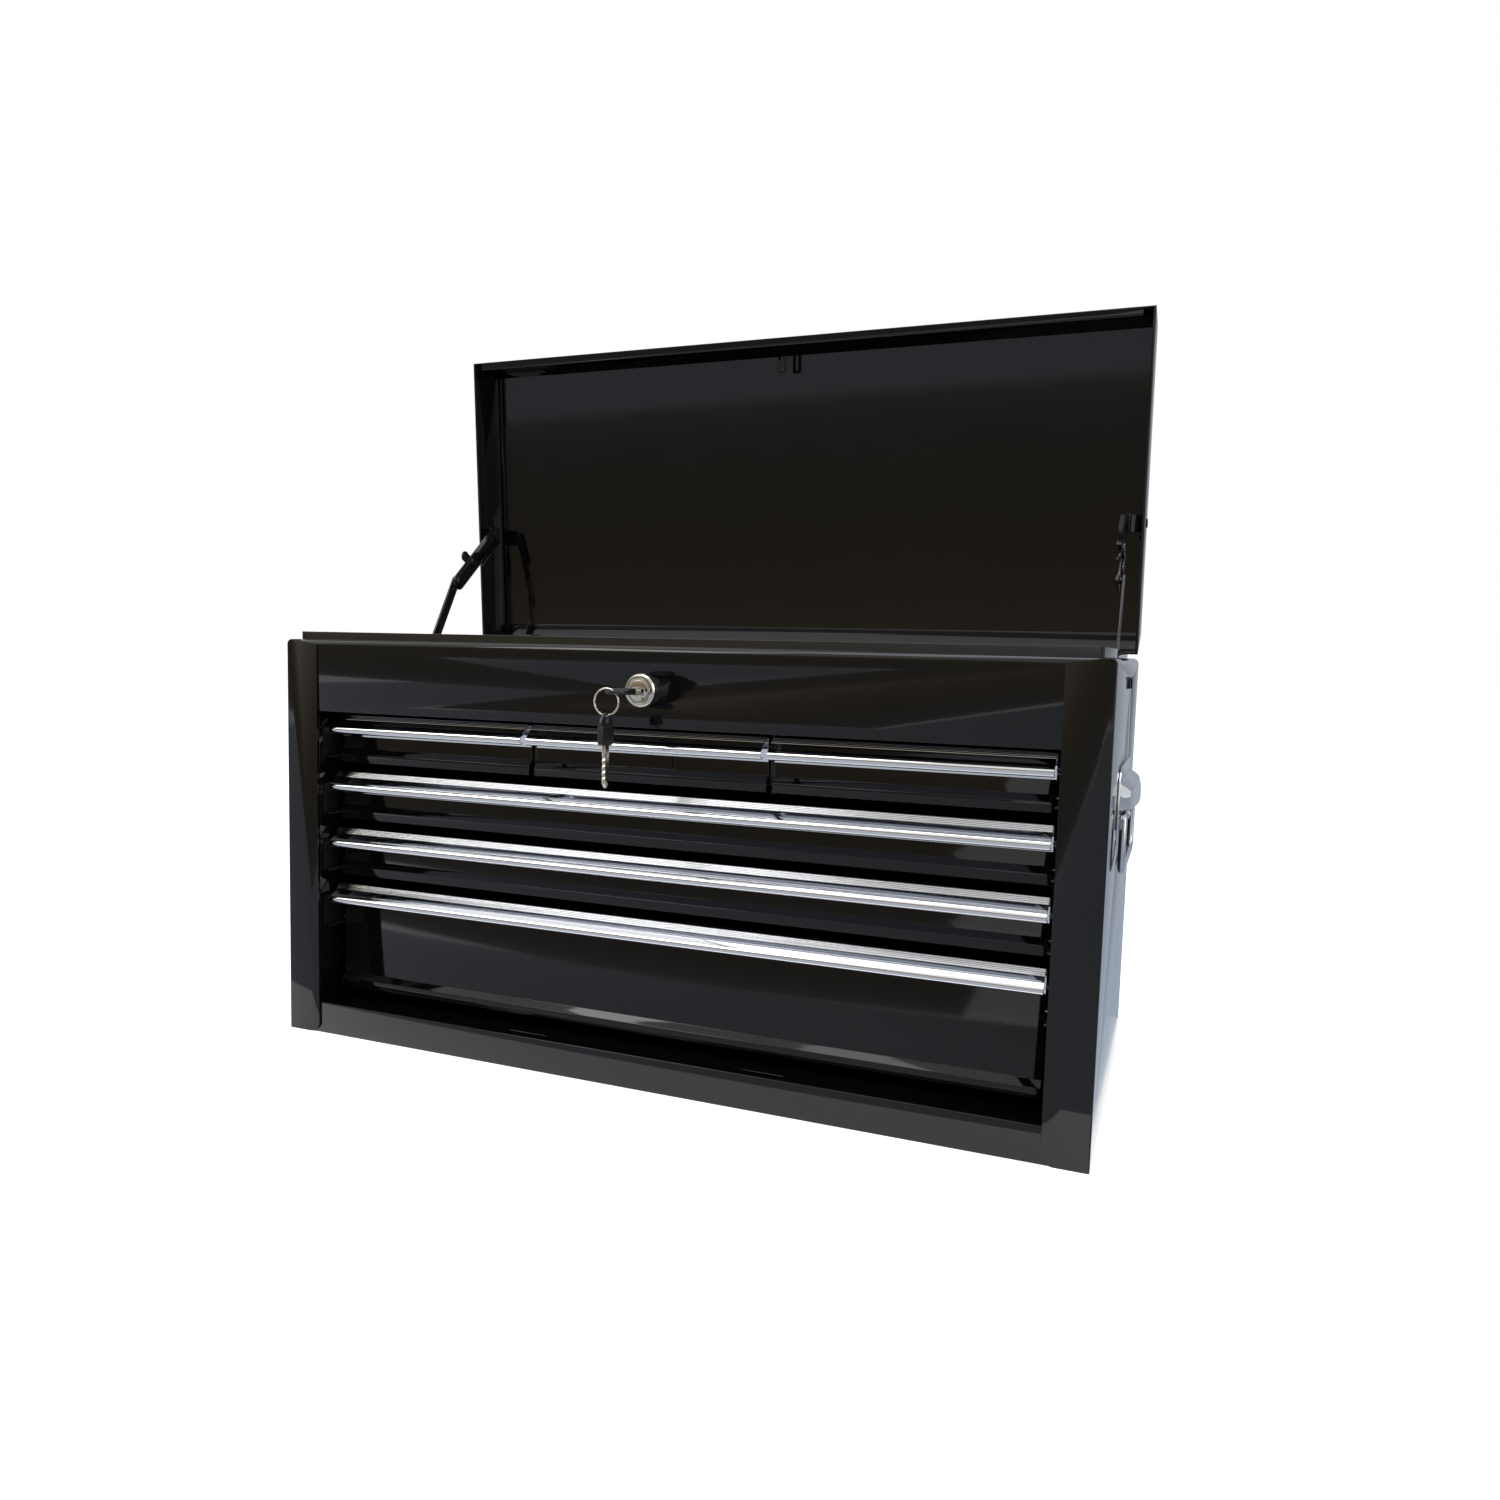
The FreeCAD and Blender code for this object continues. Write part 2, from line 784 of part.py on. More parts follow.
def slide_rails(drawers):
    """Outer slide members on the posts and on both faces of the dividers."""
    outer = {-1: [], 1: []}
    inner = []
    for name, walls, edges, bottom, height in drawers:
        middle = bottom + height - size.slide_drop
        for wall, side in zip(walls, (-1, 1)):
            if abs(abs(wall.value) - tray_half.value) < 1e-6:
                outer[side].append(slide_rail(wall, side, middle, front + size.rail_setback))
            else:
                inner.append(slide_rail(wall, side, middle, front + size.divider_setback))
    joined("slide_rails_left", outer[-1])
    joined("slide_rails_right", outer[1])
    joined("slide_rails_divider", inner)


def drawer_tray(name, walls, edges, bottom, height):
    """Folded tray: hemmed walls, and a front that steps out in a ledge over its bottom lip."""
    body = new_body(name + "_tray")
    left, right = walls
    near = drawer_face
    far = drawer_face + size.tray_length
    wall_height = height - size.tray_top_gap
    add(body, "XY_Plane", [block(left, right, near, far)], size.tray_lift, wall_height)
    hem = 2 * size.sheet
    mouth = block(left + hem, right - hem, near + size.sheet, far - hem)
    cut(body, "XY_Plane", [mouth], size.tray_lift + size.sheet, wall_height)
    room = block(left + size.sheet, right - size.sheet, near + size.sheet, far - size.sheet)
    cut(body, "XY_Plane", [room], size.tray_lift + size.sheet, wall_height - size.tray_hem)
    thick = size.sheet
    lower = drawer_face - size.ledge_proud
    step = size.ledge_top - size.ledge_bottom
    drop = thick * (length_of(size.ledge_proud, step) - step) / size.ledge_proud
    profile = [
        (drawer_face, height - size.pull_gauge),
        (drawer_face, size.ledge_top),
        (lower, size.ledge_bottom),
        (lower, 0),
        (lower + size.front_return, 0),
        (lower + size.front_return, thick),
        (lower + thick, thick),
        (lower + thick, size.ledge_bottom - drop),
        (drawer_face + thick, size.ledge_top - drop),
        (drawer_face + thick, height - size.pull_gauge),
    ]
    add(body, "YZ_Plane", [profile], edges[0], edges[1])
    put(body, 0, 0, bottom)
    named(body, name + "_tray")


def pull_profile(height):
    """Section of the drawer pull: web on the front, top, grooved slope, round nose and curl."""
    slope = size.pull_slope
    gauge = size.pull_gauge
    nose_y = drawer_face - size.pull_reach + size.nose_radius
    nose_z = height - size.nose_drop
    outer = size.nose_radius
    inner = outer - gauge
    along = (cosine(slope), sine(slope))
    touch = (nose_y - outer * sine(slope), nose_z + outer * cosine(slope))
    rise = height - touch[1]
    top_front = touch[0] + rise / tangent(slope)
    points = [(drawer_face, height), (top_front, height)]
    for index in range(PULL_GROOVES):
        start = size.groove_margin + index * size.groove_pitch
        for reach, deep in ((0, 0), (size.groove_width / 2, size.groove_depth), (size.groove_width, 0)):
            run = start + reach
            points.append((
                top_front - run * along[0] + deep * along[1],
                height - run * along[1] - deep * along[0],
            ))
    inner_touch = (nose_y - inner * sine(slope), nose_z + inner * cosine(slope))
    inner_top = height - gauge
    inner_front = inner_touch[0] + (inner_top - inner_touch[1]) / tangent(slope)
    points += [
        (touch[0], touch[1], outer, 1),
        (nose_y - outer, nose_z, outer, 1),
        (nose_y, nose_z - outer),
        (nose_y + size.pull_curl, nose_z - outer),
        (nose_y + size.pull_curl, nose_z - inner),
        (nose_y, nose_z - inner, inner, -1),
        (nose_y - inner, nose_z, inner, -1),
        inner_touch,
        (inner_front, inner_top),
        (drawer_face - size.pull_web_gauge, inner_top),
        (drawer_face - size.pull_web_gauge, height - size.pull_web),
        (drawer_face, height - size.pull_web),
    ]
    return points


def drawer_pull(name, edges, bottom, height):
    """Extruded pull along the whole top of a drawer front."""
    body = new_body(name + "_pull")
    add(body, "YZ_Plane", [pull_profile(height)], edges[0], edges[1])
    put(body, 0, 0, bottom)
    named(body, name + "_pull")


def drawer_runners(name, walls, bottom, height):
    """Inner slide members on both walls of a tray: channels with their mouths outward."""
    pieces = []
    middle = height - size.slide_drop
    for wall, side in zip(walls, (-1, 1)):
        body = new_body("runner")
        half = size.runner_height / 2
        gauge = size.slide_gauge
        profile = [
            (wall, middle + half),
            (wall + side * size.runner_lip, middle + half),
            (wall + side * size.runner_lip, middle + half - gauge),
            (wall + side * gauge, middle + half - gauge),
            (wall + side * gauge, middle - half + gauge),
            (wall + side * size.runner_lip, middle - half + gauge),
            (wall + side * size.runner_lip, middle - half),
            (wall, middle - half),
        ]
        near = drawer_face + size.sheet
        add(body, "XZ_Plane", [profile], near, near + size.runner_length)
        put(body, 0, 0, bottom)
        pieces.append(body)
    joined(name + "_runners", pieces)


def slide_cages(name, walls, bottom, height):
    """Ball cages between runner and rail, each strip as thick as the track its balls run in."""
    pieces = []
    middle = height - size.slide_drop
    track_middle = (size.slide_height / 2 - size.slide_gauge + size.runner_height / 2) / 2
    half = track_middle + size.cage_strip / 2
    near = front + size.cage_setback
    for wall, side in zip(walls, (-1, 1)):
        body = new_body("cage")
        start = size.cage_strip_start
        web = size.cage_web_reach
        profile = channel_profile(wall, side, middle, start, web, half, size.cage_gauge, size.cage_strip)
        add(body, "XZ_Plane", [profile], near, near + size.cage_length)
        put(body, 0, 0, bottom)
        pieces.append(body)
    joined(name + "_cages", pieces)


def on_lid(feature):
    """Turn a piece that is drawn closed, from the hinge axis, to the open lid."""
    turn = Rotation(Vector(-1, 0, 0), size.lid_open_angle.value)
    put(feature, 0, hinge_y, hinge_z, turn)
    feature.setExpression("Placement.Rotation.Angle", size.lid_open_angle.formula)
    return feature


# The lid's own places, closed and measured from the hinge axis.
lid_front = front - hinge_y
lid_back = back - hinge_y
lid_bottom = size.ledge_height + size.lid_gap - hinge_z
lid_top = lid_bottom + size.lid_height
lid_half = half_width - size.lid_inset
lid_room = lid_top - size.sheet


def skirt_inside(level):
    """Where the front skirt's inner face lies at a level of the closed lid."""
    rise = size.lid_height
    wall = size.sheet * length_of(size.lid_front_flare, rise) / rise
    return lid_front + wall + size.lid_front_flare * (level - lid_bottom) / rise


def lid_panel():
    """Lid drawn from one sheet: sloping front and rear, upright sides with hems, front return."""
    body = new_body("lid_panel")
    thick = size.sheet
    rise = size.lid_height
    front_wall = thick * length_of(size.lid_front_flare, rise) / rise
    rear_wall = thick * length_of(size.lid_rear_flare, rise) / rise
    room_share = (size.lid_height - thick) / rise
    outer = [
        (lid_front, lid_bottom),
        (lid_front + size.lid_front_flare, lid_top),
        (lid_back - size.lid_rear_flare, lid_top),
        (lid_back, lid_bottom),
    ]
    inner = [
        (lid_back - rear_wall, lid_bottom),
        (lid_back - rear_wall - size.lid_rear_flare * room_share, lid_room),
        (lid_front + front_wall + size.lid_front_flare * room_share, lid_room),
        (lid_front + front_wall, lid_bottom),
    ]
    add(body, "YZ_Plane", [outer + inner], -lid_half, lid_half)
    for low, high in ((-lid_half, -(lid_half - thick)), (lid_half - thick, lid_half)):
        add(body, "YZ_Plane", [outer], low, high)
    hem_share = size.lid_hem / rise
    hem = [
        (lid_front + front_wall, lid_bottom),
        (lid_front + front_wall + size.lid_front_flare * hem_share, lid_bottom + size.lid_hem),
        (lid_back - rear_wall - size.lid_rear_flare * hem_share, lid_bottom + size.lid_hem),
        (lid_back - rear_wall, lid_bottom),
    ]
    for low, high in ((-(lid_half - thick), -(lid_half - 2 * thick)), (lid_half - 2 * thick, lid_half - thick)):
        add(body, "YZ_Plane", [hem], low, high)
    stop = lid_half - size.lid_return_stop
    add(body, "YZ_Plane", [block(lid_front, lid_front + size.lid_return, lid_bottom, lid_bottom + thick)], -stop, stop)
    bends = [
        (lid_front + size.lid_front_flare, lid_top),
        (lid_back - size.lid_rear_flare, lid_top),
    ]
    round_edges(body, size.lid_bend, lambda edge: any(lies_at(edge, y=spot[0], z=spot[1]) for spot in bends))
    on_lid(body)
    named(body, "lid_panel")


def knuckle_cuts(own):
    """Spans along the hinge that belong to the other leaf, as (low, high) pairs."""
    count = int(size.knuckle_count.value)
    end = half_width - size.rear_flange - size.hinge_side_gap
    pitch = 2 * end / count
    spans = []
    for index in range(count):
        if index % 2 != own:
            low = -end + index * pitch
            spans.append((low - size.knuckle_gap / 2, low + pitch + size.knuckle_gap / 2))
    return end, spans


def hinge_leaf(name, own, plate):
    """A hinge leaf with its knuckles: the plate's outline runs up to the barrel round the axis."""
    body = new_body(name)
    end, spans = knuckle_cuts(own)
    add(body, "YZ_Plane", [plate], -end, end)
    add(body, "YZ_Plane", [((0, 0), size.knuckle_radius)], -end, end)
    bore = ((0, 0), size.pin_radius + size.pin_clearance)
    cut(body, "YZ_Plane", [bore], -end - size.cut_over, end + size.cut_over)
    reach = size.leaf_start
    square = []
    for low, high in spans:
        if low.value < -end.value:
            low = low - size.cut_over
        if high.value > end.value:
            high = high + size.cut_over
        square.append(block(low, high, -reach, reach))
    cut(body, "XY_Plane", square, -reach, reach)
    return body


def hinges():
    """Long butt hinge: case leaf with the pin, and lid leaf, knuckle by knuckle."""
    gauge = size.leaf_gauge
    wall = rear_face - hinge_y
    reach = size.leaf_start
    case_plate = [
        (wall, -reach - size.leaf_height),
        (wall + gauge, -reach - size.leaf_height),
        (wall + gauge, -reach),
        (0, -size.pin_radius),
        (-size.knuckle_radius, 0),
        (wall, -reach + gauge),
    ]
    case_leaf = hinge_leaf("case_leaf", 0, case_plate)
    put(case_leaf, 0, hinge_y, hinge_z)
    end = knuckle_cuts(0)[0]
    pin = cylinder(size.pin_radius, 2 * end, -end, hinge_y, hinge_z, ACROSS)
    joined("hinge_case_leaf", [case_leaf, pin])
    lean = size.lid_rear_flare / size.lid_height
    foot = reach
    head = foot + size.leaf_height
    out = gauge * length_of(size.lid_rear_flare, size.lid_height) / size.lid_height
    base_y = lid_back - (foot - lid_bottom) * lean
    head_y = lid_back - (head - lid_bottom) * lean
    lid_plate = [
        (base_y, foot),
        (0, size.pin_radius),
        (size.knuckle_radius, 0),
        (base_y + out, foot + gauge),
        (head_y + out, head),
        (head_y, head),
    ]
    leaf = hinge_leaf("lid_leaf", 1, lid_plate)
    on_lid(leaf)
    named(leaf, "hinge_lid_leaf")


# Layers of a stay across the chest, from the lip inward.
lower_out = lip_inner - size.stay_gap
lower_in = lower_out - size.stay_gauge
latch_out = lower_in - size.stay_gap
latch_in = latch_out - size.stay_gauge
upper_out = latch_in - size.stay_gap
upper_in = upper_out - size.stay_gauge

# The stay's two links with the lid open.
lower_run = (stay_knee[0] - stay_pivot[0], stay_knee[1] - stay_pivot[1])
upper_run = (stay_rivet[0] - stay_knee[0], stay_rivet[1] - stay_knee[1])
lower_length = length_of(lower_run[0], lower_run[1])
upper_length = length_of(upper_run[0], upper_run[1])


def along_link(feature, place, run):
    """Lay a piece drawn along Y from its first pivot along a link's run."""
    angle = math.degrees(math.atan2(run[1].value, run[0].value))
    put(feature, 0, place[0], place[1], Rotation(Vector(1, 0, 0), angle))
    feature.setExpression("Placement.Rotation.Angle", "atan2(%s; %s)" % (run[1].formula, run[0].formula))
    return feature


def link_outline(length, width):
    """A strap with round ends about its two pivots."""
    half = width / 2
    return [
        (0, -half),
        (length, -half, half, 1),
        (length + half, 0, half, 1),
        (length, half),
        (0, half, half, 1),
        (-half, 0, half, 1),
    ]


def stay_lower_links():
    """Flat lower straps of the folding stays, pivoted inside the case's lip."""
    body = new_body("stay_lower")
    add(body, "YZ_Plane", [link_outline(lower_length, size.lower_width)], lower_in, lower_out)
    hole = size.rivet_radius + size.rivet_clearance
    holes = [((0, 0), hole), ((lower_length, 0), hole)]
    cut(body, "YZ_Plane", holes, lower_in - size.cut_over, lower_out + size.cut_over)
    along_link(body, stay_pivot, lower_run)
    named(body, "stay_lower_right")
    mirrored(body, "stay_lower_left")


def stay_upper_links():
    """Upper straps with inward flanges along both edges, their knee rivet and their lid rivet."""
    body = new_body("stay_upper")
    add(body, "YZ_Plane", [link_outline(upper_length, size.upper_width)], upper_in, upper_out)
    half = size.upper_width / 2
    start = size.upper_flange_start
    flanges = [
        block(start, upper_length, -half, -half + size.stay_gauge),
        block(start, upper_length, half - size.stay_gauge, half),
    ]
    add(body, "YZ_Plane", flanges, upper_in - size.upper_flange_depth, upper_in)
    knee = ((0, 0), size.rivet_radius)
    latch_pin = ((size.latch_place, size.latch_rise), size.rivet_radius)
    add(body, "YZ_Plane", [knee], upper_in, lower_out)
    add(body, "YZ_Plane", [latch_pin], upper_in, latch_out)
    heads = [
        ((0, 0), size.rivet_head),
        ((size.latch_place, size.latch_rise), size.rivet_head),
        ((upper_length, 0), size.rivet_head),
    ]
    add(body, "YZ_Plane", heads, upper_in - size.rivet_head_thickness, upper_in)
    along_link(body, stay_knee, upper_run)
    named(body, "stay_upper_right")
    mirrored(body, "stay_upper_left")


def stay_latches():
    """Thumb latches behind the upper links: an arm towards the knee and a leaning round tab."""
    body = new_body("stay_latch")
    place = size.latch_place
    rise = size.latch_rise
    half = size.latch_tab_width / 2
    tip = place - size.latch_tab_lean
    tab = [
        (place - half, rise),
        (place + half, rise),
        (tip + half, size.latch_tab_top - half, half, 1),
        (tip, size.latch_tab_top, half, 1),
        (tip - half, size.latch_tab_top - half),
    ]
    add(body, "YZ_Plane", [tab], latch_in, latch_out)
    arm_end = place - size.latch_arm
    arm_half = size.latch_arm_width / 2
    arm = [
        (arm_end, rise + arm_half, arm_half, 1),
        (arm_end - arm_half, rise, arm_half, 1),
        (arm_end, rise - arm_half),
        (place, rise - arm_half, arm_half, 1),
        (place + arm_half, rise),
        (place + arm_half, rise + arm_half),
    ]
    add(body, "YZ_Plane", [arm], latch_in, latch_out)
    hole = ((place, rise), size.rivet_radius + size.rivet_clearance)
    cut(body, "YZ_Plane", [hole], latch_in - size.cut_over, latch_out + size.cut_over)
    along_link(body, stay_knee, upper_run)
    named(body, "stay_latch_right")
    mirrored(body, "stay_latch_left")


def stay_case_studs():
    """Shouldered studs through the side walls that the lower links turn on."""
    gap = size.stud_face_gap
    place = stay_pivot
    body = new_body("stud")
    add(body, "YZ_Plane", [(place, size.rivet_radius)], lower_in - gap, half_width)
    add(body, "YZ_Plane", [(place, size.rivet_head)], lower_in - gap - size.rivet_head_thickness, lower_in - gap)
    add(body, "YZ_Plane", [(place, size.rivet_head)], lower_out + gap, inner_side)
    add(body, "YZ_Plane", [(place, size.rivet_head)], half_width, half_width + size.rivet_head_thickness)
    twin = mirrored(body, "stud_mirror", keep=False)
    joined("stay_case_studs", [body, twin])


def to_closed(y, z):
    """A place given with the lid open, in the lid's own closed coordinates."""
    angle = size.lid_open_angle
    across = y - hinge_y
    up = z - hinge_z
    return across * cosine(angle) - up * sine(angle), across * sine(angle) + up * cosine(angle)


def stay_lid_brackets():
    """Offset brackets for the stays' lid rivets, each riveted through the lid's side wall."""
    y, z = to_closed(stay_rivet[0], stay_rivet[1])
    body = new_body("bracket")
    gauge = size.stay_gauge
    low = y - size.bracket_half_width
    high = y + size.bracket_half_width
    web_top = z + size.bracket_rise
    wall = lid_half - size.sheet
    profile = [
        (latch_in, z - size.bracket_drop),
        (latch_out, z - size.bracket_drop),
        (latch_out, web_top - gauge),
        (wall, web_top - gauge),
        (wall, web_top + size.bracket_foot),
        (wall - gauge, web_top + size.bracket_foot),
        (wall - gauge, web_top),
        (latch_in, web_top),
    ]
    add(body, "XZ_Plane", [profile], low, high)
    on_lid(body)
    head = new_body("bracket_rivet")
    rivet = ((y, web_top + size.bracket_foot / 2), size.bracket_rivet_head)
    add(head, "YZ_Plane", [rivet], lid_half, lid_half + size.rivet_head_thickness)
    on_lid(head)
    pieces = [body, head]
    for piece in (body, head):
        pieces.append(mirrored(piece, "bracket_mirror", keep=False))
    joined("stay_lid_brackets", pieces)


def lid_striker():
    """Striker staple: a U of square bar standing back from the front skirt's inner face."""
    body = new_body("lid_striker")
    gauge = size.striker_gauge
    half = size.striker_gap / 2
    low = lid_top - size.striker_drop - gauge / 2
    high = low + gauge
    rear = lid_front + size.striker_reach
    leg = [
        (skirt_inside(low), low),
        (rear, low),
        (rear, high),
        (skirt_inside(high), high),
    ]
    add(body, "YZ_Plane", [leg], -half - gauge, half + gauge)
    room = block(-half, half, lid_front, rear - gauge)
    cut(body, "XY_Plane", [room], low - size.cut_over, high + size.cut_over)
    on_lid(body)
    named(body, "lid_striker")


def lock_housing():
    """Lock barrel's housing: domed bezel on the header and a threaded body through it."""
    body = new_body("lock_housing")
    centre = (0, lock_z)
    add(body, "XZ_Plane", [(centre, size.bezel_radius)], face - size.bezel_thickness, face)
    add(body, "XZ_Plane", [(centre, size.housing_radius)], face, face + size.housing_length)
    rim = face - size.bezel_thickness
    bevel_edges(body, size.bezel_bevel, lambda edge: lies_at(edge, y=rim))
    bore = (centre, size.plug_radius + size.plug_clearance)
    cut(body, "XZ_Plane", [bore], rim - size.cut_over, face + size.housing_length + size.cut_over)
    named(body, "lock_housing")


def lock_nut():
    """Hexagon nut that clamps the housing behind the header."""
    body = new_body("lock_nut")
    flat = size.nut_flats / 2
    corner = size.nut_flats / math.sqrt(3)
    middle = lock_z
    hexagon = [
        (corner, middle),
        (corner / 2, middle + flat),
        (-corner / 2, middle + flat),
        (-corner, middle),
        (-corner / 2, middle - flat),
        (corner / 2, middle - flat),
    ]
    behind = face + size.sheet
    add(body, "XZ_Plane", [hexagon], behind, behind + size.nut_thickness)
    hole = ((0, middle), size.housing_radius + size.thread_clearance)
    cut(body, "XZ_Plane", [hole], behind - size.cut_over, behind + size.nut_thickness + size.cut_over)
    named(body, "lock_nut")


plug_front = face - size.bezel_thickness - size.plug_proud
plug_back = face + size.housing_length + size.cam_gap


def lock_plug():
    """Turning plug with its keyway, which reaches through the housing to the cam."""
    body = new_body("lock_plug")
    centre = (0, lock_z)
    add(body, "XZ_Plane", [(centre, size.plug_radius)], plug_front, plug_back)
    half = size.keyway_width / 2
    slot = block(
        -size.keyway_length / 2, size.keyway_length / 2, lock_z - half, lock_z + half
    )
    cut(body, "XZ_Plane", [slot], plug_front - size.cut_over, plug_front + size.keyway_depth)
    named(body, "lock_plug")


def lock_cam():
    """Hooked cam on the back of the plug, pointing sideways when the lock is open."""
    body = new_body("lock_cam")
    middle = lock_z
    near = plug_back
    low = middle - size.cam_arm_near - size.cam_arm_width
    high = middle - size.cam_arm_near
    nose = size.cam_nose_under
    tip = nose + size.cam_nose_thickness
    hook = [
        (0, low),
        (tip, low),
        (tip, middle + size.cam_nose_over),
        (nose, middle + size.cam_nose_over),
        (nose, high),
        (size.cam_hub, high),
        (0, middle),
    ]
    add(body, "XZ_Plane", [hook], near, near + size.cam_gauge)
    add(body, "XZ_Plane", [((0, middle), size.cam_hub)], near, near + size.cam_gauge)
    screw_start = near + size.cam_gauge
    screw = ((0, middle), size.cam_screw_radius)
    add(body, "XZ_Plane", [screw], screw_start, screw_start + size.cam_screw_thickness)
    named(body, "lock_cam")


# Keys: drawn lying flat in XY with the bow's eye at the origin and the blade along +Y.
eye_to_shoulder = size.key_head_length - size.key_eye_place


def key_head(label):
    """Moulded key bow: full-round far end, thinner round its eye."""
    body = new_body(label)
    half = size.key_head_width / 2
    far = -size.key_eye_place
    near = eye_to_shoulder
    corner = size.key_corner
    outline = [
        (-half, far + half, half, 1),
        (0, far, half, 1),
        (half, far + half),
        (half, near - corner, corner, 1),
        (half - corner, near),
        (-half + corner, near, corner, 1),
        (-half, near - corner),
    ]
    thick = size.key_head_thickness / 2
    thin = size.key_eye_thickness / 2
    add(body, "XY_Plane", [outline], -thick, thick)
    step = block(-half - size.cut_over, half + size.cut_over, far - size.cut_over, far + size.key_eye_zone)
    cut(body, "XY_Plane", [step], thin, thick + size.cut_over)
    cut(body, "XY_Plane", [step], -thick - size.cut_over, -thin)
    cut(body, "XY_Plane", [((0, 0), size.key_eye_radius)], -thick - size.cut_over, thick + size.cut_over)
    socket = block(
        -size.blade_width / 2, size.blade_width / 2, near - size.blade_tang, near + size.cut_over
    )
    cut(body, "XY_Plane", [socket], -size.blade_thickness / 2, size.blade_thickness / 2)
    return body


def key_blade(label):
    """Stamped key blade with cut notches along one edge and its tang in the bow."""
    body = new_body(label)
    half = size.blade_width / 2
    start = eye_to_shoulder - size.blade_tang
    end = eye_to_shoulder + size.blade_length
    points = [(half, start), (half, end - half), (0, end), (-half, end - half)]
    for index in range(BLADE_NOTCHES):
        middle = end - half - (index + 1) * size.blade_notch_pitch
        points.append((-half, middle + size.blade_notch))
        points.append((-half + size.blade_notch, middle))
        points.append((-half, middle - size.blade_notch))
    points.append((-half, start))
    thick = size.blade_thickness / 2
    add(body, "XY_Plane", [points], -thick, thick)
    return body


eye_y = plug_front - size.blade_seen - eye_to_shoulder
ring_x = -size.ring_side
ring_z = lock_z - size.ring_drop
ring_radius = length_of(size.ring_side, size.ring_drop)


def keys():
    """The key that stands in the lock, with the ring that hangs from its eye."""
    for build, label in ((key_head, "key_in_lock_head"), (key_blade, "key_in_lock_blade")):
        inserted = build(label)
        put(inserted, 0, eye_y, lock_z)
        named(inserted, label)
    key_ring()


def key_ring():
    """Wire ring through the key's eye, its wire drawn with six sides."""
    body = new_body("key_ring")
    outline = []
    for index in range(WIRE_SIDES):
        angle = measure(360 * index / WIRE_SIDES)
        outline.append((ring_radius + size.ring_wire * cosine(angle), size.ring_wire * sine(angle)))
    sketch = new_sketch(body, "XY_Plane", 0)
    fill_sketch(sketch, [outline])
    turn = body.newObject("PartDesign::Revolution", "Turn")
    turn.Profile = sketch
    turn.ReferenceAxis = (sketch, ["V_Axis"])
    turn.Angle = 360
    doc.recompute()
    put(body, ring_x, eye_y, ring_z)
    named(body, "key_ring")


plate_face = half_width + size.handle_gauge
pivot_x = plate_face + size.bail_plate_gap + size.bail_radius
handle_z = size.ledge_height - size.handle_drop


def hood_bulge(inset):
    """The drawn hood as a solid, its faces brought in by the inset: a section along the case, cut to a plan."""
    reach = size.hood_reach - inset
    end_reach = size.hood_end_reach - inset
    end = size.hood_half_length - inset
    low = handle_z + size.hood_mouth_rise
    lip = low + size.hood_lip
    high = handle_z + size.hood_rise - inset
    rise = high - lip
    roundness = (reach * reach + rise * rise) / (2 * reach)
    section = [
        (plate_face, low),
        (plate_face + reach, low),
        (plate_face + reach, lip, roundness, 1),
        (plate_face, high),
    ]
    along = new_body("hood_section")
    add(along, "XZ_Plane", [section], -end, end)
    bow = reach - end_reach
    plan = [
        (plate_face, -end),
        (plate_face + end_reach, -end, (end * end + bow * bow) / (2 * bow), 1),
        (plate_face + end_reach, end),
        (plate_face, end),
    ]
    upright = new_body("hood_plan")
    add(upright, "XY_Plane", [plan], low, high)
    bulge = doc.addObject("Part::MultiCommon", "Bulge")
    bulge.Shapes = [along, upright]
    return bulge


def handle_hood():
    """Hollow drawn hood over the bail's pivots, open below."""
    hollow = hood_bulge(size.hood_gauge)
    hood = doc.addObject("Part::Cut", "Hood")
    hood.Base = hood_bulge(measure(0))
    hood.Tool = hollow
    return hood


def handle_brackets():
    """Pressed handle plates on the side walls, each with its hood and two saddles for the bail."""
    body = new_body("handle_bracket")
    foot = handle_z - size.handle_plate_drop
    shoulder = handle_z + size.handle_plate_shoulder
    top = handle_z + size.handle_plate_rise
    plate = [
        (-size.handle_half_length, foot),
        (size.handle_half_length, foot),
        (size.handle_half_length, shoulder),
        (size.handle_shoulder, top),
        (-size.handle_shoulder, top),
        (-size.handle_half_length, shoulder),
    ]
    add(body, "YZ_Plane", [plate], half_width, plate_face)
    inner = size.bail_radius + size.bail_clearance
    outer = inner + size.saddle_gauge
    saddle = [
        (plate_face, handle_z - outer),
        (pivot_x, handle_z - outer, outer, 1),
        (pivot_x + outer, handle_z, outer, 1),
        (pivot_x, handle_z + outer),
        (plate_face, handle_z + outer),
        (plate_face, handle_z + inner),
        (pivot_x, handle_z + inner, inner, -1),
        (pivot_x + inner, handle_z, inner, -1),
        (pivot_x, handle_z - inner),
        (plate_face, handle_z - inner),
    ]
    far = size.bail_half_length - size.bail_radius - size.hood_gauge
    for low in (-far, far - size.saddle_length):
        add(body, "XZ_Plane", [saddle], low, low + size.saddle_length)
    bracket = doc.addObject("Part::MultiFuse", "Bracket")
    bracket.Shapes = [body, handle_hood()]
    twin = mirrored(bracket, "bracket_mirror", keep=False)
    joined("handle_brackets", [bracket, twin])


def bend_points(corner, into, out, radius):
    """Points of a bend at a square corner, on chords: into and out are the ways of its two runs."""
    across = [corner[axis] - into[axis] * radius + out[axis] * radius for axis in (0, 1)]
    points = []
    for index in range(BEND_CHORDS + 1):
        angle = measure(90 * index / BEND_CHORDS)
        points.append(tuple(
            across[axis] - out[axis] * radius * cosine(angle) + into[axis] * radius * sine(angle)
            for axis in (0, 1)
        ))
    return points


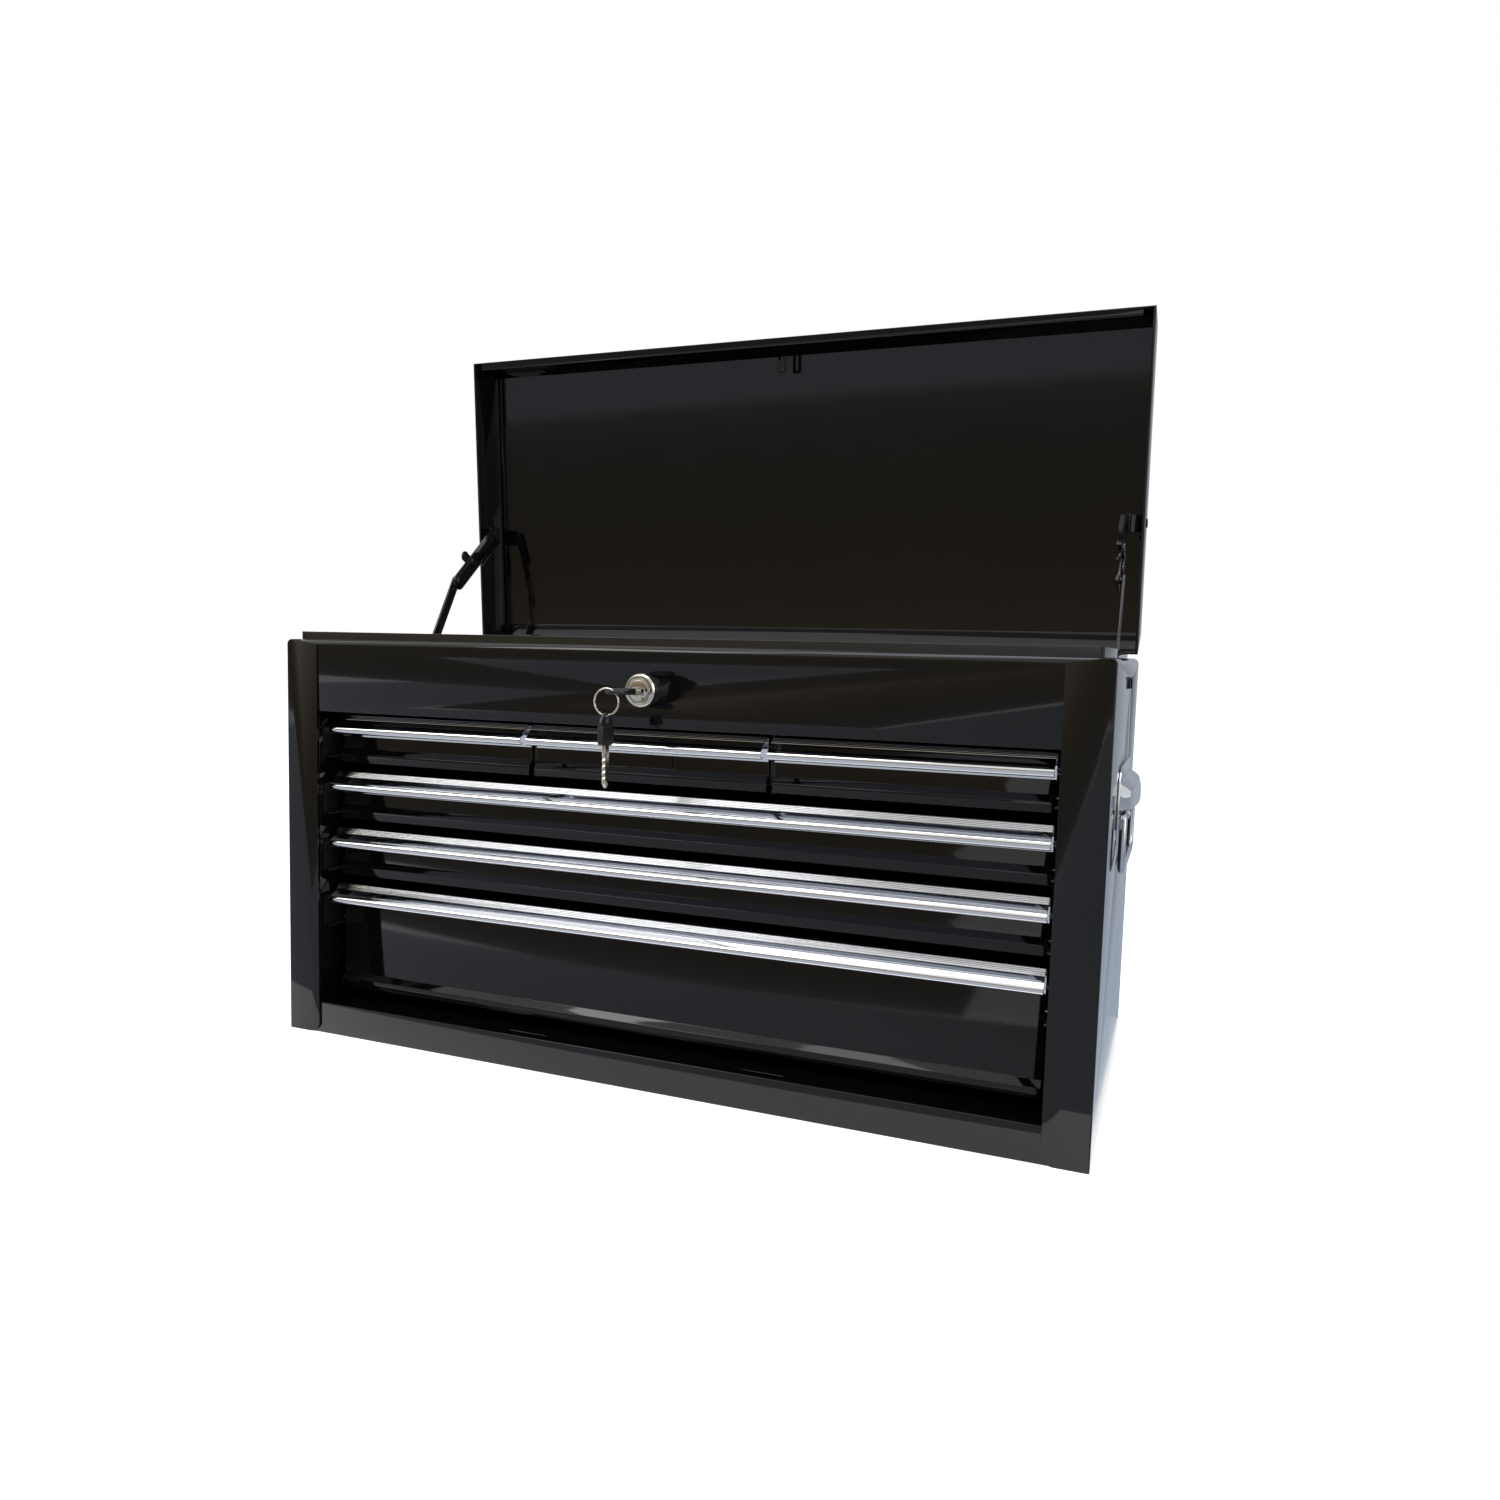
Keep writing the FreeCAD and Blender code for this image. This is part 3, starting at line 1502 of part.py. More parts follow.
def bails():
    """Bent rod bails: stubs in the saddles, legs outside them and a straight grip."""
    leg = size.bail_half_length
    low = -size.bail_drop
    start = leg - size.bail_stub
    pivot_bend = size.bail_pivot_bend
    bend = size.bail_bend
    points = [(-start, measure(0))]
    points += bend_points((-leg, measure(0)), (-1, 0), (0, -1), pivot_bend)
    points += bend_points((-leg, low), (0, -1), (1, 0), bend)
    points += bend_points((leg, low), (1, 0), (0, 1), bend)
    points += bend_points((leg, measure(0)), (0, 1), (-1, 0), pivot_bend)
    points += [(start, measure(0))]
    path = doc.addObject("Sketcher::SketchObject", "BailPath")
    path.Placement = Placement(Vector(0, 0, 0), Rotation(Vector(1, 1, 1), 120))
    draw_path(path, points)
    section = doc.addObject("Part::Circle", "BailSection")
    bind(section, "Radius", size.bail_radius)
    put(section, 0, -start, 0, Rotation(Vector(0, 0, 1), BACKWARD))
    doc.recompute()
    rod = doc.addObject("Part::Sweep", "Bail")
    rod.Sections = [section]
    rod.Spine = (path, ["Edge%d" % (index + 1) for index in range(len(path.Shape.Edges))])
    rod.Solid = True
    rod.Transition = "Right corner"
    put(rod, pivot_x, 0, handle_z)
    named(rod, "bail_right")
    mirrored(rod, "bail_left")


def draw_path(sketch, points):
    """An open run of straight lines whose corners are tied to the sheet."""
    ends = [Vector(measure(point[0]).value, measure(point[1]).value, 0) for point in points]
    for index in range(len(points) - 1):
        sketch.addGeometry(Part.LineSegment(ends[index], ends[index + 1]), False)
        if index:
            sketch.addConstraint(Sketcher.Constraint("Coincident", index - 1, 2, index, 1))
    for index, point in enumerate(points):
        line, end = (index, 1) if index < len(points) - 1 else (index - 1, 2)
        for kind, each in zip(("DistanceX", "DistanceY"), point):
            limit = Sketcher.Constraint(kind, -1, 1, line, end, measure(each).value)
            tie = sketch.addConstraint(limit)
            sketch.setExpression("Constraints[%d]" % tie, measure(each).formula)


def build():
    """Build every piece."""
    side_panels()
    back_panel()
    header_panel()
    bottom_rail()
    base_panel()
    till_floor()
    drawer_dividers()
    slide_posts()
    drawers = drawer_list()
    slide_rails(drawers)
    for name, walls, edges, bottom, height in drawers:
        drawer_tray(name, walls, edges, bottom, height)
        drawer_pull(name, edges, bottom, height)
        drawer_runners(name, walls, bottom, height)
        slide_cages(name, walls, bottom, height)
    hinges()
    lid_panel()
    lid_striker()
    stay_case_studs()
    stay_lower_links()
    stay_upper_links()
    stay_latches()
    stay_lid_brackets()
    lock_housing()
    lock_nut()
    lock_plug()
    lock_cam()
    keys()
    handle_brackets()
    bails()


def faults():
    """What is wrong with the document's objects and the nodes' shapes, in words."""
    found = []
    for each in doc.Objects:
        if "Invalid" in each.State or "Error" in each.State:
            found.append("%s (%s) did not build" % (each.Label, each.Name))
    for part in PARTS:
        shape = part.Shape
        if shape.isNull():
            found.append("%s has no shape" % part.Label)
        elif not shape.isValid():
            found.append("%s has an unsound shape" % part.Label)
        elif not shape.Solids:
            found.append("%s has no solid" % part.Label)
    return found


def write_parts():
    """Check every object, then write each node's solids."""
    doc.recompute()
    found = faults()
    if found:
        raise RuntimeError("; ".join(found))
    os.makedirs("parts", exist_ok=True)
    for part in PARTS:
        part.Shape.exportStep("parts/%s.step" % part.Label)


build()
write_parts()
print("%d nodes written" % len(PARTS))
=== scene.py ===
"""Looks of a black steel tool chest with an open lid: finishes, rounded sheet edges, light and camera."""
from __future__ import annotations

import json
import logging
import math
from dataclasses import dataclass, field
from enum import Enum

import bpy
from mathutils import Matrix, Vector

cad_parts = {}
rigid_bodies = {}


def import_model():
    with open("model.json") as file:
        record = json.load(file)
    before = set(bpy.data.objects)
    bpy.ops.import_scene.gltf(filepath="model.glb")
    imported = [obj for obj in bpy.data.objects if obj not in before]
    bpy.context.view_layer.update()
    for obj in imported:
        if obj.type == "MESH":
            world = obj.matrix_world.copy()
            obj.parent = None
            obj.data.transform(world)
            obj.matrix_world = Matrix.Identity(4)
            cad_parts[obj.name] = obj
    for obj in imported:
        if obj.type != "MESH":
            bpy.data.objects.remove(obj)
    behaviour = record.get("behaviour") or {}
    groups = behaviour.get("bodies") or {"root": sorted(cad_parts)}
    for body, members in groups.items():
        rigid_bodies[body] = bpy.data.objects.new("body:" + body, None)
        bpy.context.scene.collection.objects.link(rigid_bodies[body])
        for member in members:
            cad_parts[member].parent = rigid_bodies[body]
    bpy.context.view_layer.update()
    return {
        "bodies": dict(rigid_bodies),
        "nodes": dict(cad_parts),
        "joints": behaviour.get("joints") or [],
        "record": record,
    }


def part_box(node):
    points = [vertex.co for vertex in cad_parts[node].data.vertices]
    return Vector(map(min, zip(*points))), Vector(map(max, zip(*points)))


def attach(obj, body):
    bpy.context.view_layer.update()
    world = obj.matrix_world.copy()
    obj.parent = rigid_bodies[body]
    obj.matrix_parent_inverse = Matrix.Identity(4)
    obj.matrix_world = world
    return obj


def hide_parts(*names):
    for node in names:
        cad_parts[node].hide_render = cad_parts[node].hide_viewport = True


LOG = logging.getLogger("tool_chest")
MM = 0.001
# Sockets of a Mix node that mixes colours.
MIX_FIRST, MIX_SECOND, MIX_RESULT = 6, 7, 2
NOISE_ROUGHNESS = 0.5
WHITE = (1.0, 1.0, 1.0, 1.0)

Triple = tuple[float, float, float]
Tones = tuple[tuple[float, str], ...]


class Slot(str, Enum):
    """Material slots of the record."""

    BLACK = "black_coat"
    ZINC = "zinc_steel"
    STAY = "stay_black"
    SLIDE = "slide_black"
    ROD = "chrome_rod"
    LOCK = "lock_chrome"
    PULL = "pull_aluminium"
    HEAD = "key_plastic"
    NICKEL = "key_nickel"


def linear(colour: str) -> tuple[float, float, float, float]:
    """Turn an sRGB hex colour into Blender's linear colour.

    Args:
        colour: Six hex digits after a hash sign.

    Returns:
        Linear red, green and blue, and an alpha of one.
    """
    shares = [int(colour[i:i + 2], 16) / 255 for i in (1, 3, 5)]
    parts = [s / 12.92 if s <= 0.04045 else ((s + 0.055) / 1.055) ** 2.4 for s in shares]
    return (parts[0], parts[1], parts[2], 1.0)


def add_node(
    tree: bpy.types.NodeTree,
    kind: str,
    settings: dict[str, object] | None = None,
    values: dict[str, object] | None = None,
    links: dict[str, bpy.types.NodeSocket] | None = None,
) -> bpy.types.Node:
    """Add a node with its settings, its socket values and the links into it.

    Args:
        tree: The node tree that takes the node.
        kind: The node's Blender type name.
        settings: Properties of the node itself.
        values: Input socket names with their values.
        links: Input socket names with the outputs that feed them.

    Returns:
        The new node.
    """
    node = tree.nodes.new(kind)
    for name, value in (settings or {}).items():
        setattr(node, name, value)
    for name, value in (values or {}).items():
        node.inputs[name].default_value = value
    for name, output in (links or {}).items():
        tree.links.new(output, node.inputs[name])
    return node


def new_material(name: str) -> tuple[bpy.types.Material, bpy.types.NodeTree, bpy.types.Node]:
    """Make an empty material with an output node.

    Args:
        name: The material's name.

    Returns:
        The material, its node tree and its output node.
    """
    material = bpy.data.materials.new(name)
    material.use_nodes = True
    tree = material.node_tree
    tree.nodes.clear()
    return material, tree, add_node(tree, "ShaderNodeOutputMaterial")


def fine_pattern(tree: bpy.types.NodeTree, period_mm: float, detail: float) -> bpy.types.NodeSocket:
    """Add a cloudy pattern of a real size in object space.

    Args:
        tree: The material's node tree.
        period_mm: Size of one grain of the pattern in millimetres.
        detail: Octaves of finer grains.

    Returns:
        The pattern's value from nought to one.
    """
    place = add_node(tree, "ShaderNodeTexCoord")
    cloud = add_node(
        tree,
        "ShaderNodeTexNoise",
        values={"Scale": 1 / (period_mm * MM), "Detail": detail, "Roughness": NOISE_ROUGHNESS},
        links={"Vector": place.outputs["Object"]},
    )
    return cloud.outputs["Fac"]


def relief(
    tree: bpy.types.NodeTree, period_mm: float, detail: float, height_mm: float, strength: float
) -> bpy.types.NodeSocket:
    """Add a fine relief whose grains have a real size and height.

    Args:
        tree: The material's node tree.
        period_mm: Size of one grain in millimetres.
        detail: Octaves of finer grains.
        height_mm: Height of the grains in millimetres.
        strength: How much of the height shows.

    Returns:
        The normal of the raised surface.
    """
    raised = add_node(
        tree,
        "ShaderNodeBump",
        values={"Strength": strength, "Distance": height_mm * MM},
        links={"Height": fine_pattern(tree, period_mm, detail)},
    )
    return raised.outputs["Normal"]


@dataclass(frozen=True)
class DarkFilm:
    """A thin dark film on steel: its two tones, its gloss and the fine ripple of its surface."""

    name: str
    colour: str
    dusty: str
    roughness: float
    spread: float
    peel_mm: float
    peel_height_mm: float
    specular: float
    peel_detail: float = 1.5
    peel_strength: float = 0.6
    film_mm: float = 60.0
    film_detail: float = 3.0
    index: float = 1.5

    def build(self) -> bpy.types.Material:
        """Build the film's material.

        Returns:
            The material, with clouds in its tone and its gloss.
        """
        material, tree, output = new_material(self.name)
        peel = relief(tree, self.peel_mm, self.peel_detail, self.peel_height_mm, self.peel_strength)
        film = fine_pattern(tree, self.film_mm, self.film_detail)
        shade = add_node(tree, "ShaderNodeMix", settings={"data_type": "RGBA"}, links={"Factor": film})
        shade.inputs[MIX_FIRST].default_value = linear(self.colour)
        shade.inputs[MIX_SECOND].default_value = linear(self.dusty)
        haze = add_node(
            tree,
            "ShaderNodeMapRange",
            values={"To Min": self.roughness, "To Max": self.roughness + self.spread},
            links={"Value": film},
        )
        shader = add_node(
            tree,
            "ShaderNodeBsdfPrincipled",
            values={"IOR": self.index, "Specular IOR Level": self.specular},
            links={
                "Base Color": shade.outputs[MIX_RESULT],
                "Roughness": haze.outputs["Result"],
                "Normal": peel,
            },
        )
        tree.links.new(shader.outputs["BSDF"], output.inputs["Surface"])
        return material


@dataclass(frozen=True)
class BareMetal:
    """A metal surface: how bright and how smooth it is, its fine grain and the clouds in its sheen."""

    name: str
    colour: str
    roughness: float
    grain_mm: float
    grain_height_mm: float
    spread: float = 0.08
    cloud_mm: float = 9.0
    grain_detail: float = 3.0
    grain_strength: float = 0.5
    cloud_detail: float = 2.0

    def build(self) -> bpy.types.Material:
        """Build the metal's material.

        Returns:
            The material, with clouds in its sheen.
        """
        material, tree, output = new_material(self.name)
        grain = relief(tree, self.grain_mm, self.grain_detail, self.grain_height_mm, self.grain_strength)
        sheen = add_node(
            tree,
            "ShaderNodeMapRange",
            values={"To Min": self.roughness, "To Max": self.roughness + self.spread},
            links={"Value": fine_pattern(tree, self.cloud_mm, self.cloud_detail)},
        )
        shader = add_node(
            tree,
            "ShaderNodeBsdfPrincipled",
            values={"Base Color": linear(self.colour), "Metallic": 1.0},
            links={"Roughness": sheen.outputs["Result"], "Normal": grain},
        )
        tree.links.new(shader.outputs["BSDF"], output.inputs["Surface"])
        return material


@dataclass(frozen=True)
class MouldedPlastic:
    """Black ABS, injection moulded in a lightly sparked tool, so it is dark with a soft sheen."""

    name: str = "moulded_abs"
    colour: str = "#101012"
    roughness: float = 0.42
    spark_mm: float = 0.5
    spark_height_mm: float = 0.02
    spark_detail: float = 2.0
    spark_strength: float = 0.4
    index: float = 1.54

    def build(self) -> bpy.types.Material:
        """Build the plastic's material.

        Returns:
            The material, with its sparked relief.
        """
        material, tree, output = new_material(self.name)
        spark = relief(tree, self.spark_mm, self.spark_detail, self.spark_height_mm, self.spark_strength)
        shader = add_node(
            tree,
            "ShaderNodeBsdfPrincipled",
            values={"Base Color": linear(self.colour), "IOR": self.index, "Roughness": self.roughness},
            links={"Normal": spark},
        )
        tree.links.new(shader.outputs["BSDF"], output.inputs["Surface"])
        return material


# Gloss black polyester powder coat, sprayed dry and baked on steel sheet: it flows out to a deep gloss that
# keeps a fine orange peel, so reflections are clear but ripple.
POWDER_COAT = DarkFilm(
    "gloss_black_powder_coat",
    colour="#060607",
    dusty="#0C0C0D",
    roughness=0.04,
    spread=0.03,
    peel_mm=2.4,
    peel_height_mm=0.006,
    specular=0.42,
)
# Bright zinc plate on cold rolled steel: bluish grey, faintly clouded. The grain is drawn coarser than it is.
ZINC = BareMetal("bright_zinc_plate", "#A9ABAE", roughness=0.30, grain_mm=0.6, grain_height_mm=0.004)
# Black baked enamel on stamped straps: thinner than the powder coat, with a slightly duller gloss.
STAY_ENAMEL = DarkFilm(
    "black_baked_enamel",
    colour="#08090A",
    dusty="#101213",
    roughness=0.12,
    spread=0.08,
    peel_mm=1.2,
    peel_height_mm=0.006,
    specular=0.5,
)
# Dark film on roll formed slide channels, with a low, soft sheen. Its dark tone is painted shade: it stands
# in for the deep shade inside the case.
SLIDE_PAINTED_SHADE_FILM = DarkFilm(
    "slide_dark_painted_shade",
    colour="#0A0A0B",
    dusty="#141415",
    roughness=0.30,
    spread=0.12,
    peel_mm=0.8,
    peel_height_mm=0.004,
    specular=0.5,
)
# Bright chrome over polished nickel on drawn rod: mirror smooth, hardly any grain.
CHROME = BareMetal(
    "bright_chrome_plate", "#C4C7CB", roughness=0.05, grain_mm=1.5, grain_height_mm=0.002, spread=0.04
)
# Bright chrome on a die casting: mirror smooth with a slight ripple.
LOCK_CHROME = BareMetal(
    "chromed_zinc_casting", "#C9C6C0", roughness=0.09, grain_mm=1.8, grain_height_mm=0.003, spread=0.06
)
# Polished and clear anodised aluminium extrusion: smooth, with hardly any cloud in its sheen. Its grain is
# too low to show, so the grain's height is nought.
ALUMINIUM = BareMetal(
    "polished_aluminium",
    "#E2E4E8",
    roughness=0.07,
    grain_mm=0.35,
    grain_height_mm=0.0,
    spread=0.01,
    cloud_mm=60.0,
)
# Nickel plate on a stamped brass blade: warm white, lightly scuffed.
NICKEL = BareMetal("nickel_plate", "#C6BFB1", roughness=0.16, grain_mm=0.5, grain_height_mm=0.003)

FINISHES: dict[Slot, DarkFilm | BareMetal | MouldedPlastic] = {
    Slot.BLACK: POWDER_COAT,
    Slot.ZINC: ZINC,
    Slot.STAY: STAY_ENAMEL,
    Slot.SLIDE: SLIDE_PAINTED_SHADE_FILM,
    Slot.ROD: CHROME,
    Slot.LOCK: LOCK_CHROME,
    Slot.PULL: ALUMINIUM,
    Slot.HEAD: MouldedPlastic(),
    Slot.NICKEL: NICKEL,
}


class Paintbox:
    """Builds each finish once and gives it by slot."""

    def __init__(self) -> None:
        """Build every finish."""
        self.made = {slot: finish.build() for slot, finish in FINISHES.items()}

    def give(self, piece: bpy.types.Object, slot: Slot) -> None:
        """Put a slot's finish on the whole piece.

        Args:
            piece: The mesh object to dress.
            slot: The record's slot that it takes its finish from.
        """
        piece.data.materials.clear()
        piece.data.materials.append(self.made[slot])


def select_only(piece: bpy.types.Object) -> None:
    """Make a piece the only selected and the active object.

    Args:
        piece: The object that the next operator acts on.
    """
    bpy.ops.object.select_all(action="DESELECT")
    piece.select_set(True)
    bpy.context.view_layer.objects.active = piece


def apply_modifier(piece: bpy.types.Object, kind: str, **settings: object) -> None:
    """Add a modifier to a piece and apply it.

    Args:
        piece: The mesh object.
        kind: The modifier's Blender type name.
        **settings: The modifier's properties.
    """
    select_only(piece)
    modifier = piece.modifiers.new(kind.title(), kind)
    for name, value in settings.items():
        setattr(modifier, name, value)
    bpy.ops.object.modifier_apply(modifier=modifier.name)


@dataclass
class Sheetwork:
    """Turns CAD nodes into pieces with merged faces, softly broken edges and smooth rounds."""

    frame: dict
    paintbox: Paintbox
    merge_mm: float = 0.002
    flat_deg: float = 0.5
    edge_rings: int = 2
    edge_margin_deg: float = 8.0
    body_of: dict[str, str] = field(default_factory=dict)

    def __post_init__(self) -> None:
        """Note the body of each node."""
        for body, members in self.frame["record"]["behaviour"]["bodies"].items():
            for node in members:
                self.body_of[node] = body

    def refine(self, node: str, slot: Slot, edge_mm: float, smooth_deg: float = 32.0) -> bpy.types.Object:
        """Stand a merged copy with broken edges in for a CAD node.

        Args:
            node: The node's name.
            slot: The slot whose finish it takes.
            edge_mm: Width of the broken edges, or nought for none.
            smooth_deg: Edges flatter than this are shaded smooth.

        Returns:
            The new piece.
        """
        source = self.frame["nodes"][node]
        piece = bpy.data.objects.new("looks_" + node, source.data.copy())
        bpy.context.scene.collection.objects.link(piece)
        select_only(piece)
        bpy.ops.object.mode_set(mode="EDIT")
        bpy.ops.mesh.select_all(action="SELECT")
        bpy.ops.mesh.remove_doubles(threshold=self.merge_mm * MM)
        bpy.ops.mesh.dissolve_limited(angle_limit=math.radians(self.flat_deg))
        bpy.ops.object.mode_set(mode="OBJECT")
        if edge_mm > 0:
            apply_modifier(
                piece,
                "BEVEL",
                width=edge_mm * MM,
                segments=self.edge_rings,
                limit_method="ANGLE",
                angle_limit=math.radians(smooth_deg + self.edge_margin_deg),
            )
        select_only(piece)
        bpy.ops.object.shade_smooth_by_angle(angle=math.radians(smooth_deg))
        self.paintbox.give(piece, slot)
        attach(piece, self.body_of[node])
        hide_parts(node)
        LOG.info("%s dressed in %s", node, slot.value)
        return piece


@dataclass
class ChestCase:
    """The folded case: side walls, back, header, rail, till floor, posts and slides."""

    sheets: Sheetwork
    wall_edge_mm: float = 0.28
    floor_edge_mm: float = 0.2
    thin_edge_mm: float = 0.15
    walls: tuple[str, ...] = (
        "side_panel_left",
        "side_panel_right",
        "back_panel",
        "header_panel",
        "bottom_rail",
    )
    floors: tuple[str, ...] = ("till_floor", "base_panel", "drawer_dividers")
    rails: tuple[str, ...] = ("slide_rails_left", "slide_rails_right", "slide_rails_divider")

    def build(self) -> None:
        """Dress the case."""
        for node in self.walls:
            self.sheets.refine(node, Slot.BLACK, self.wall_edge_mm)
        for node in self.floors:
            self.sheets.refine(node, Slot.BLACK, self.floor_edge_mm)
        # Posts and slide rails are dark partly as painted shade, for the deep shade inside the case.
        self.sheets.refine("slide_posts", Slot.BLACK, self.thin_edge_mm)
        for node in self.rails:
            self.sheets.refine(node, Slot.SLIDE, self.thin_edge_mm)
        self.sheets.refine("hinge_case_leaf", Slot.BLACK, self.thin_edge_mm)


@dataclass
class DrawerBank:
    """Six drawers: trays, ribbed pulls, runners and ball cages."""

    sheets: Sheetwork
    count: int = 6
    tray_edge_mm: float = 0.25
    pull_edge_mm: float = 0.12
    pull_smooth_deg: float = 25.0
    runner_edge_mm: float = 0.15
    cage_smooth_deg: float = 50.0

    def build(self) -> None:
        """Dress each drawer."""
        for number in range(1, self.count + 1):
            name = f"drawer_{number}_"
            self.sheets.refine(name + "tray", Slot.BLACK, self.tray_edge_mm)
            self.sheets.refine(name + "pull", Slot.PULL, self.pull_edge_mm, self.pull_smooth_deg)
            self.sheets.refine(name + "runners", Slot.ZINC, self.runner_edge_mm)
            self.sheets.refine(name + "cages", Slot.ZINC, 0.0, self.cage_smooth_deg)


@dataclass
class OpenLid:
    """The lid with its hinge leaf, striker and stay brackets."""

    sheets: Sheetwork
    lid_edge_mm: float = 0.28
    leaf_edge_mm: float = 0.15
    striker_edge_mm: float = 0.3
    bracket_edge_mm: float = 0.25

    def build(self) -> None:
        """Dress the lid."""
        self.sheets.refine("lid_panel", Slot.BLACK, self.lid_edge_mm)
        self.sheets.refine("hinge_lid_leaf", Slot.BLACK, self.leaf_edge_mm)
        self.sheets.refine("lid_striker", Slot.BLACK, self.striker_edge_mm)
        self.sheets.refine("stay_lid_brackets", Slot.BLACK, self.bracket_edge_mm)


@dataclass
class FoldingStays:
    """The two folding stays with their thumb latches and studs."""

    sheets: Sheetwork
    strap_edge_mm: float = 0.3
    stud_edge_mm: float = 0.35

    def build(self) -> None:
        """Dress the stays."""
        for side in ("left", "right"):
            for kind in ("lower", "upper", "latch"):
                self.sheets.refine(f"stay_{kind}_{side}", Slot.STAY, self.strap_edge_mm)
        self.sheets.refine("stay_case_studs", Slot.STAY, self.stud_edge_mm)


@dataclass
class CamLock:
    """The cam lock with the key that stands in it and the spare key that hangs from its ring.

    The eye's middle is eye_place_mm behind the front of the key's head, and the ring's wire is wire_mm thick.
    """

    sheets: Sheetwork
    housing_edge_mm: float = 0.15
    plug_edge_mm: float = 0.25
    nut_edge_mm: float = 0.3
    cam_edge_mm: float = 0.25
    head_edge_mm: float = 0.5
    blade_edge_mm: float = 0.2
    ring_smooth_deg: float = 60.0
    eye_place_mm: float = 4.0
    eye_radius_mm: float = 3.0
    wire_mm: float = 1.3
    play_mm: float = 0.1

    def build(self) -> None:
        """Dress the lock and keys."""
        self.sheets.refine("lock_housing", Slot.LOCK, self.housing_edge_mm)
        self.sheets.refine("lock_plug", Slot.LOCK, self.plug_edge_mm)
        self.sheets.refine("lock_nut", Slot.ZINC, self.nut_edge_mm)
        self.sheets.refine("lock_cam", Slot.ZINC, self.cam_edge_mm)
        for part, slot, edge_mm in (
            ("head", Slot.HEAD, self.head_edge_mm),
            ("blade", Slot.NICKEL, self.blade_edge_mm),
        ):
            inserted = self.sheets.refine("key_in_lock_" + part, slot, edge_mm)
            self.hang_spare(inserted, "spare_key_" + part)
        self.sheets.refine("key_ring", Slot.NICKEL, 0.0, self.ring_smooth_deg)

    def hang_spare(self, inserted: bpy.types.Object, name: str) -> None:
        """Hang a copy of a part of the inserted key from the bottom of the ring, its blade downward.

        Args:
            inserted: The finished part of the key in the lock.
            name: The copy's name.
        """
        head_low, head_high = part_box("key_in_lock_head")
        ring_low, ring_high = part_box("key_ring")
        eye = Vector((0, head_low[1] + self.eye_place_mm * MM, (head_low[2] + head_high[2]) / 2))
        seat = (self.eye_radius_mm - self.play_mm) * MM
        hung = Vector(((ring_low[0] + ring_high[0]) / 2, eye.y, ring_low[2] - seat + self.wire_mm * MM))
        # The blade, which points to the back in the lock, points down on the ring.
        turn = Matrix(((0, 0, -1), (1, 0, 0), (0, -1, 0)))
        spare = bpy.data.objects.new(name, inserted.data.copy())
        bpy.context.scene.collection.objects.link(spare)
        spare.rotation_euler = turn.to_euler()
        spare.location = hung - turn @ eye
        select_only(spare)
        bpy.ops.object.transform_apply(location=True, rotation=True, scale=False)
        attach(spare, "ring")
        LOG.info("%s hung from the ring", name)


@dataclass
class CarryHandles:
    """Bail handles at the sides under their pressed hoods."""

    sheets: Sheetwork
    plate_edge_mm: float = 0.2
    plate_smooth_deg: float = 50.0
    bail_smooth_deg: float = 60.0

    def build(self) -> None:
        """Dress the handles."""
        self.sheets.refine("handle_brackets", Slot.ROD, self.plate_edge_mm, self.plate_smooth_deg)
        for side in ("left", "right"):
            self.sheets.refine("bail_" + side, Slot.ROD, 0.0, self.bail_smooth_deg)


@dataclass(frozen=True)
class Board:
    """A board that only shows in reflections, toned from its foot to its head; metres and degrees."""

    name: str
    place: Triple
    size: tuple[float, float]
    tones: Tones
    turn_deg: float = 0.0
    tilt_deg: float = 90.0

    def material(self) -> bpy.types.Material:
        """Build the board's toned glow.

        Returns:
            The material, which glows in the tones from the board's foot to its head.
        """
        material, tree, output = new_material(self.name)
        half = self.size[1] / 2
        spot = add_node(tree, "ShaderNodeTexCoord")
        axes = add_node(tree, "ShaderNodeSeparateXYZ", links={"Vector": spot.outputs["Object"]})
        height = add_node(
            tree,
            "ShaderNodeMapRange",
            values={"From Min": -half, "From Max": half},
            links={"Value": axes.outputs["Y"]},
        )
        ramp = add_node(tree, "ShaderNodeValToRGB", links={"Fac": height.outputs["Result"]})
        stops = ramp.color_ramp.elements
        for share, _ in self.tones[1:-1]:
            stops.new(share)
        for stop, (share, colour) in zip(stops, self.tones):
            stop.position = share
            stop.color = linear(colour)
        glow = add_node(tree, "ShaderNodeEmission", links={"Color": ramp.outputs["Color"]})
        tree.links.new(glow.outputs["Emission"], output.inputs["Surface"])
        return material

    def stand(self) -> None:
        """Set the board up."""
        bpy.ops.object.select_all(action="DESELECT")
        bpy.ops.mesh.primitive_plane_add(
            size=1,
            location=self.place,
            rotation=(math.radians(self.tilt_deg), 0, math.radians(self.turn_deg)),
        )
        card = bpy.context.active_object
        card.name = self.name
        bpy.ops.transform.resize(value=(self.size[0], self.size[1], 1), orient_type="LOCAL")
        bpy.ops.object.transform_apply(location=False, rotation=False, scale=True)
        card.data.materials.append(self.material())
        card.visible_camera = False
        card.visible_diffuse = False
        card.visible_transmission = False
        card.visible_shadow = False


@dataclass(frozen=True)
class Lamp:
    """A soft lamp: its place, width and height in metres, its power in watts and its colour."""

    name: str
    place: Triple
    size: tuple[float, float]
    power: float
    colour: str = "#FFFFFF"
    aim: Triple = (0.0, 0.0, 0.2)

    def hang(self) -> None:
        """Hang the lamp so that it looks at the chest."""
        data = bpy.data.lights.new(self.name, "AREA")
        data.shape = "RECTANGLE"
        data.size, data.size_y = self.size
        data.energy = self.power
        data.color = linear(self.colour)[:3]
        lamp = bpy.data.objects.new(self.name, data)
        bpy.context.scene.collection.objects.link(lamp)
        lamp.location = self.place
        lamp.rotation_euler = (Vector(self.aim) - Vector(self.place)).to_track_quat("-Z", "Y").to_euler()


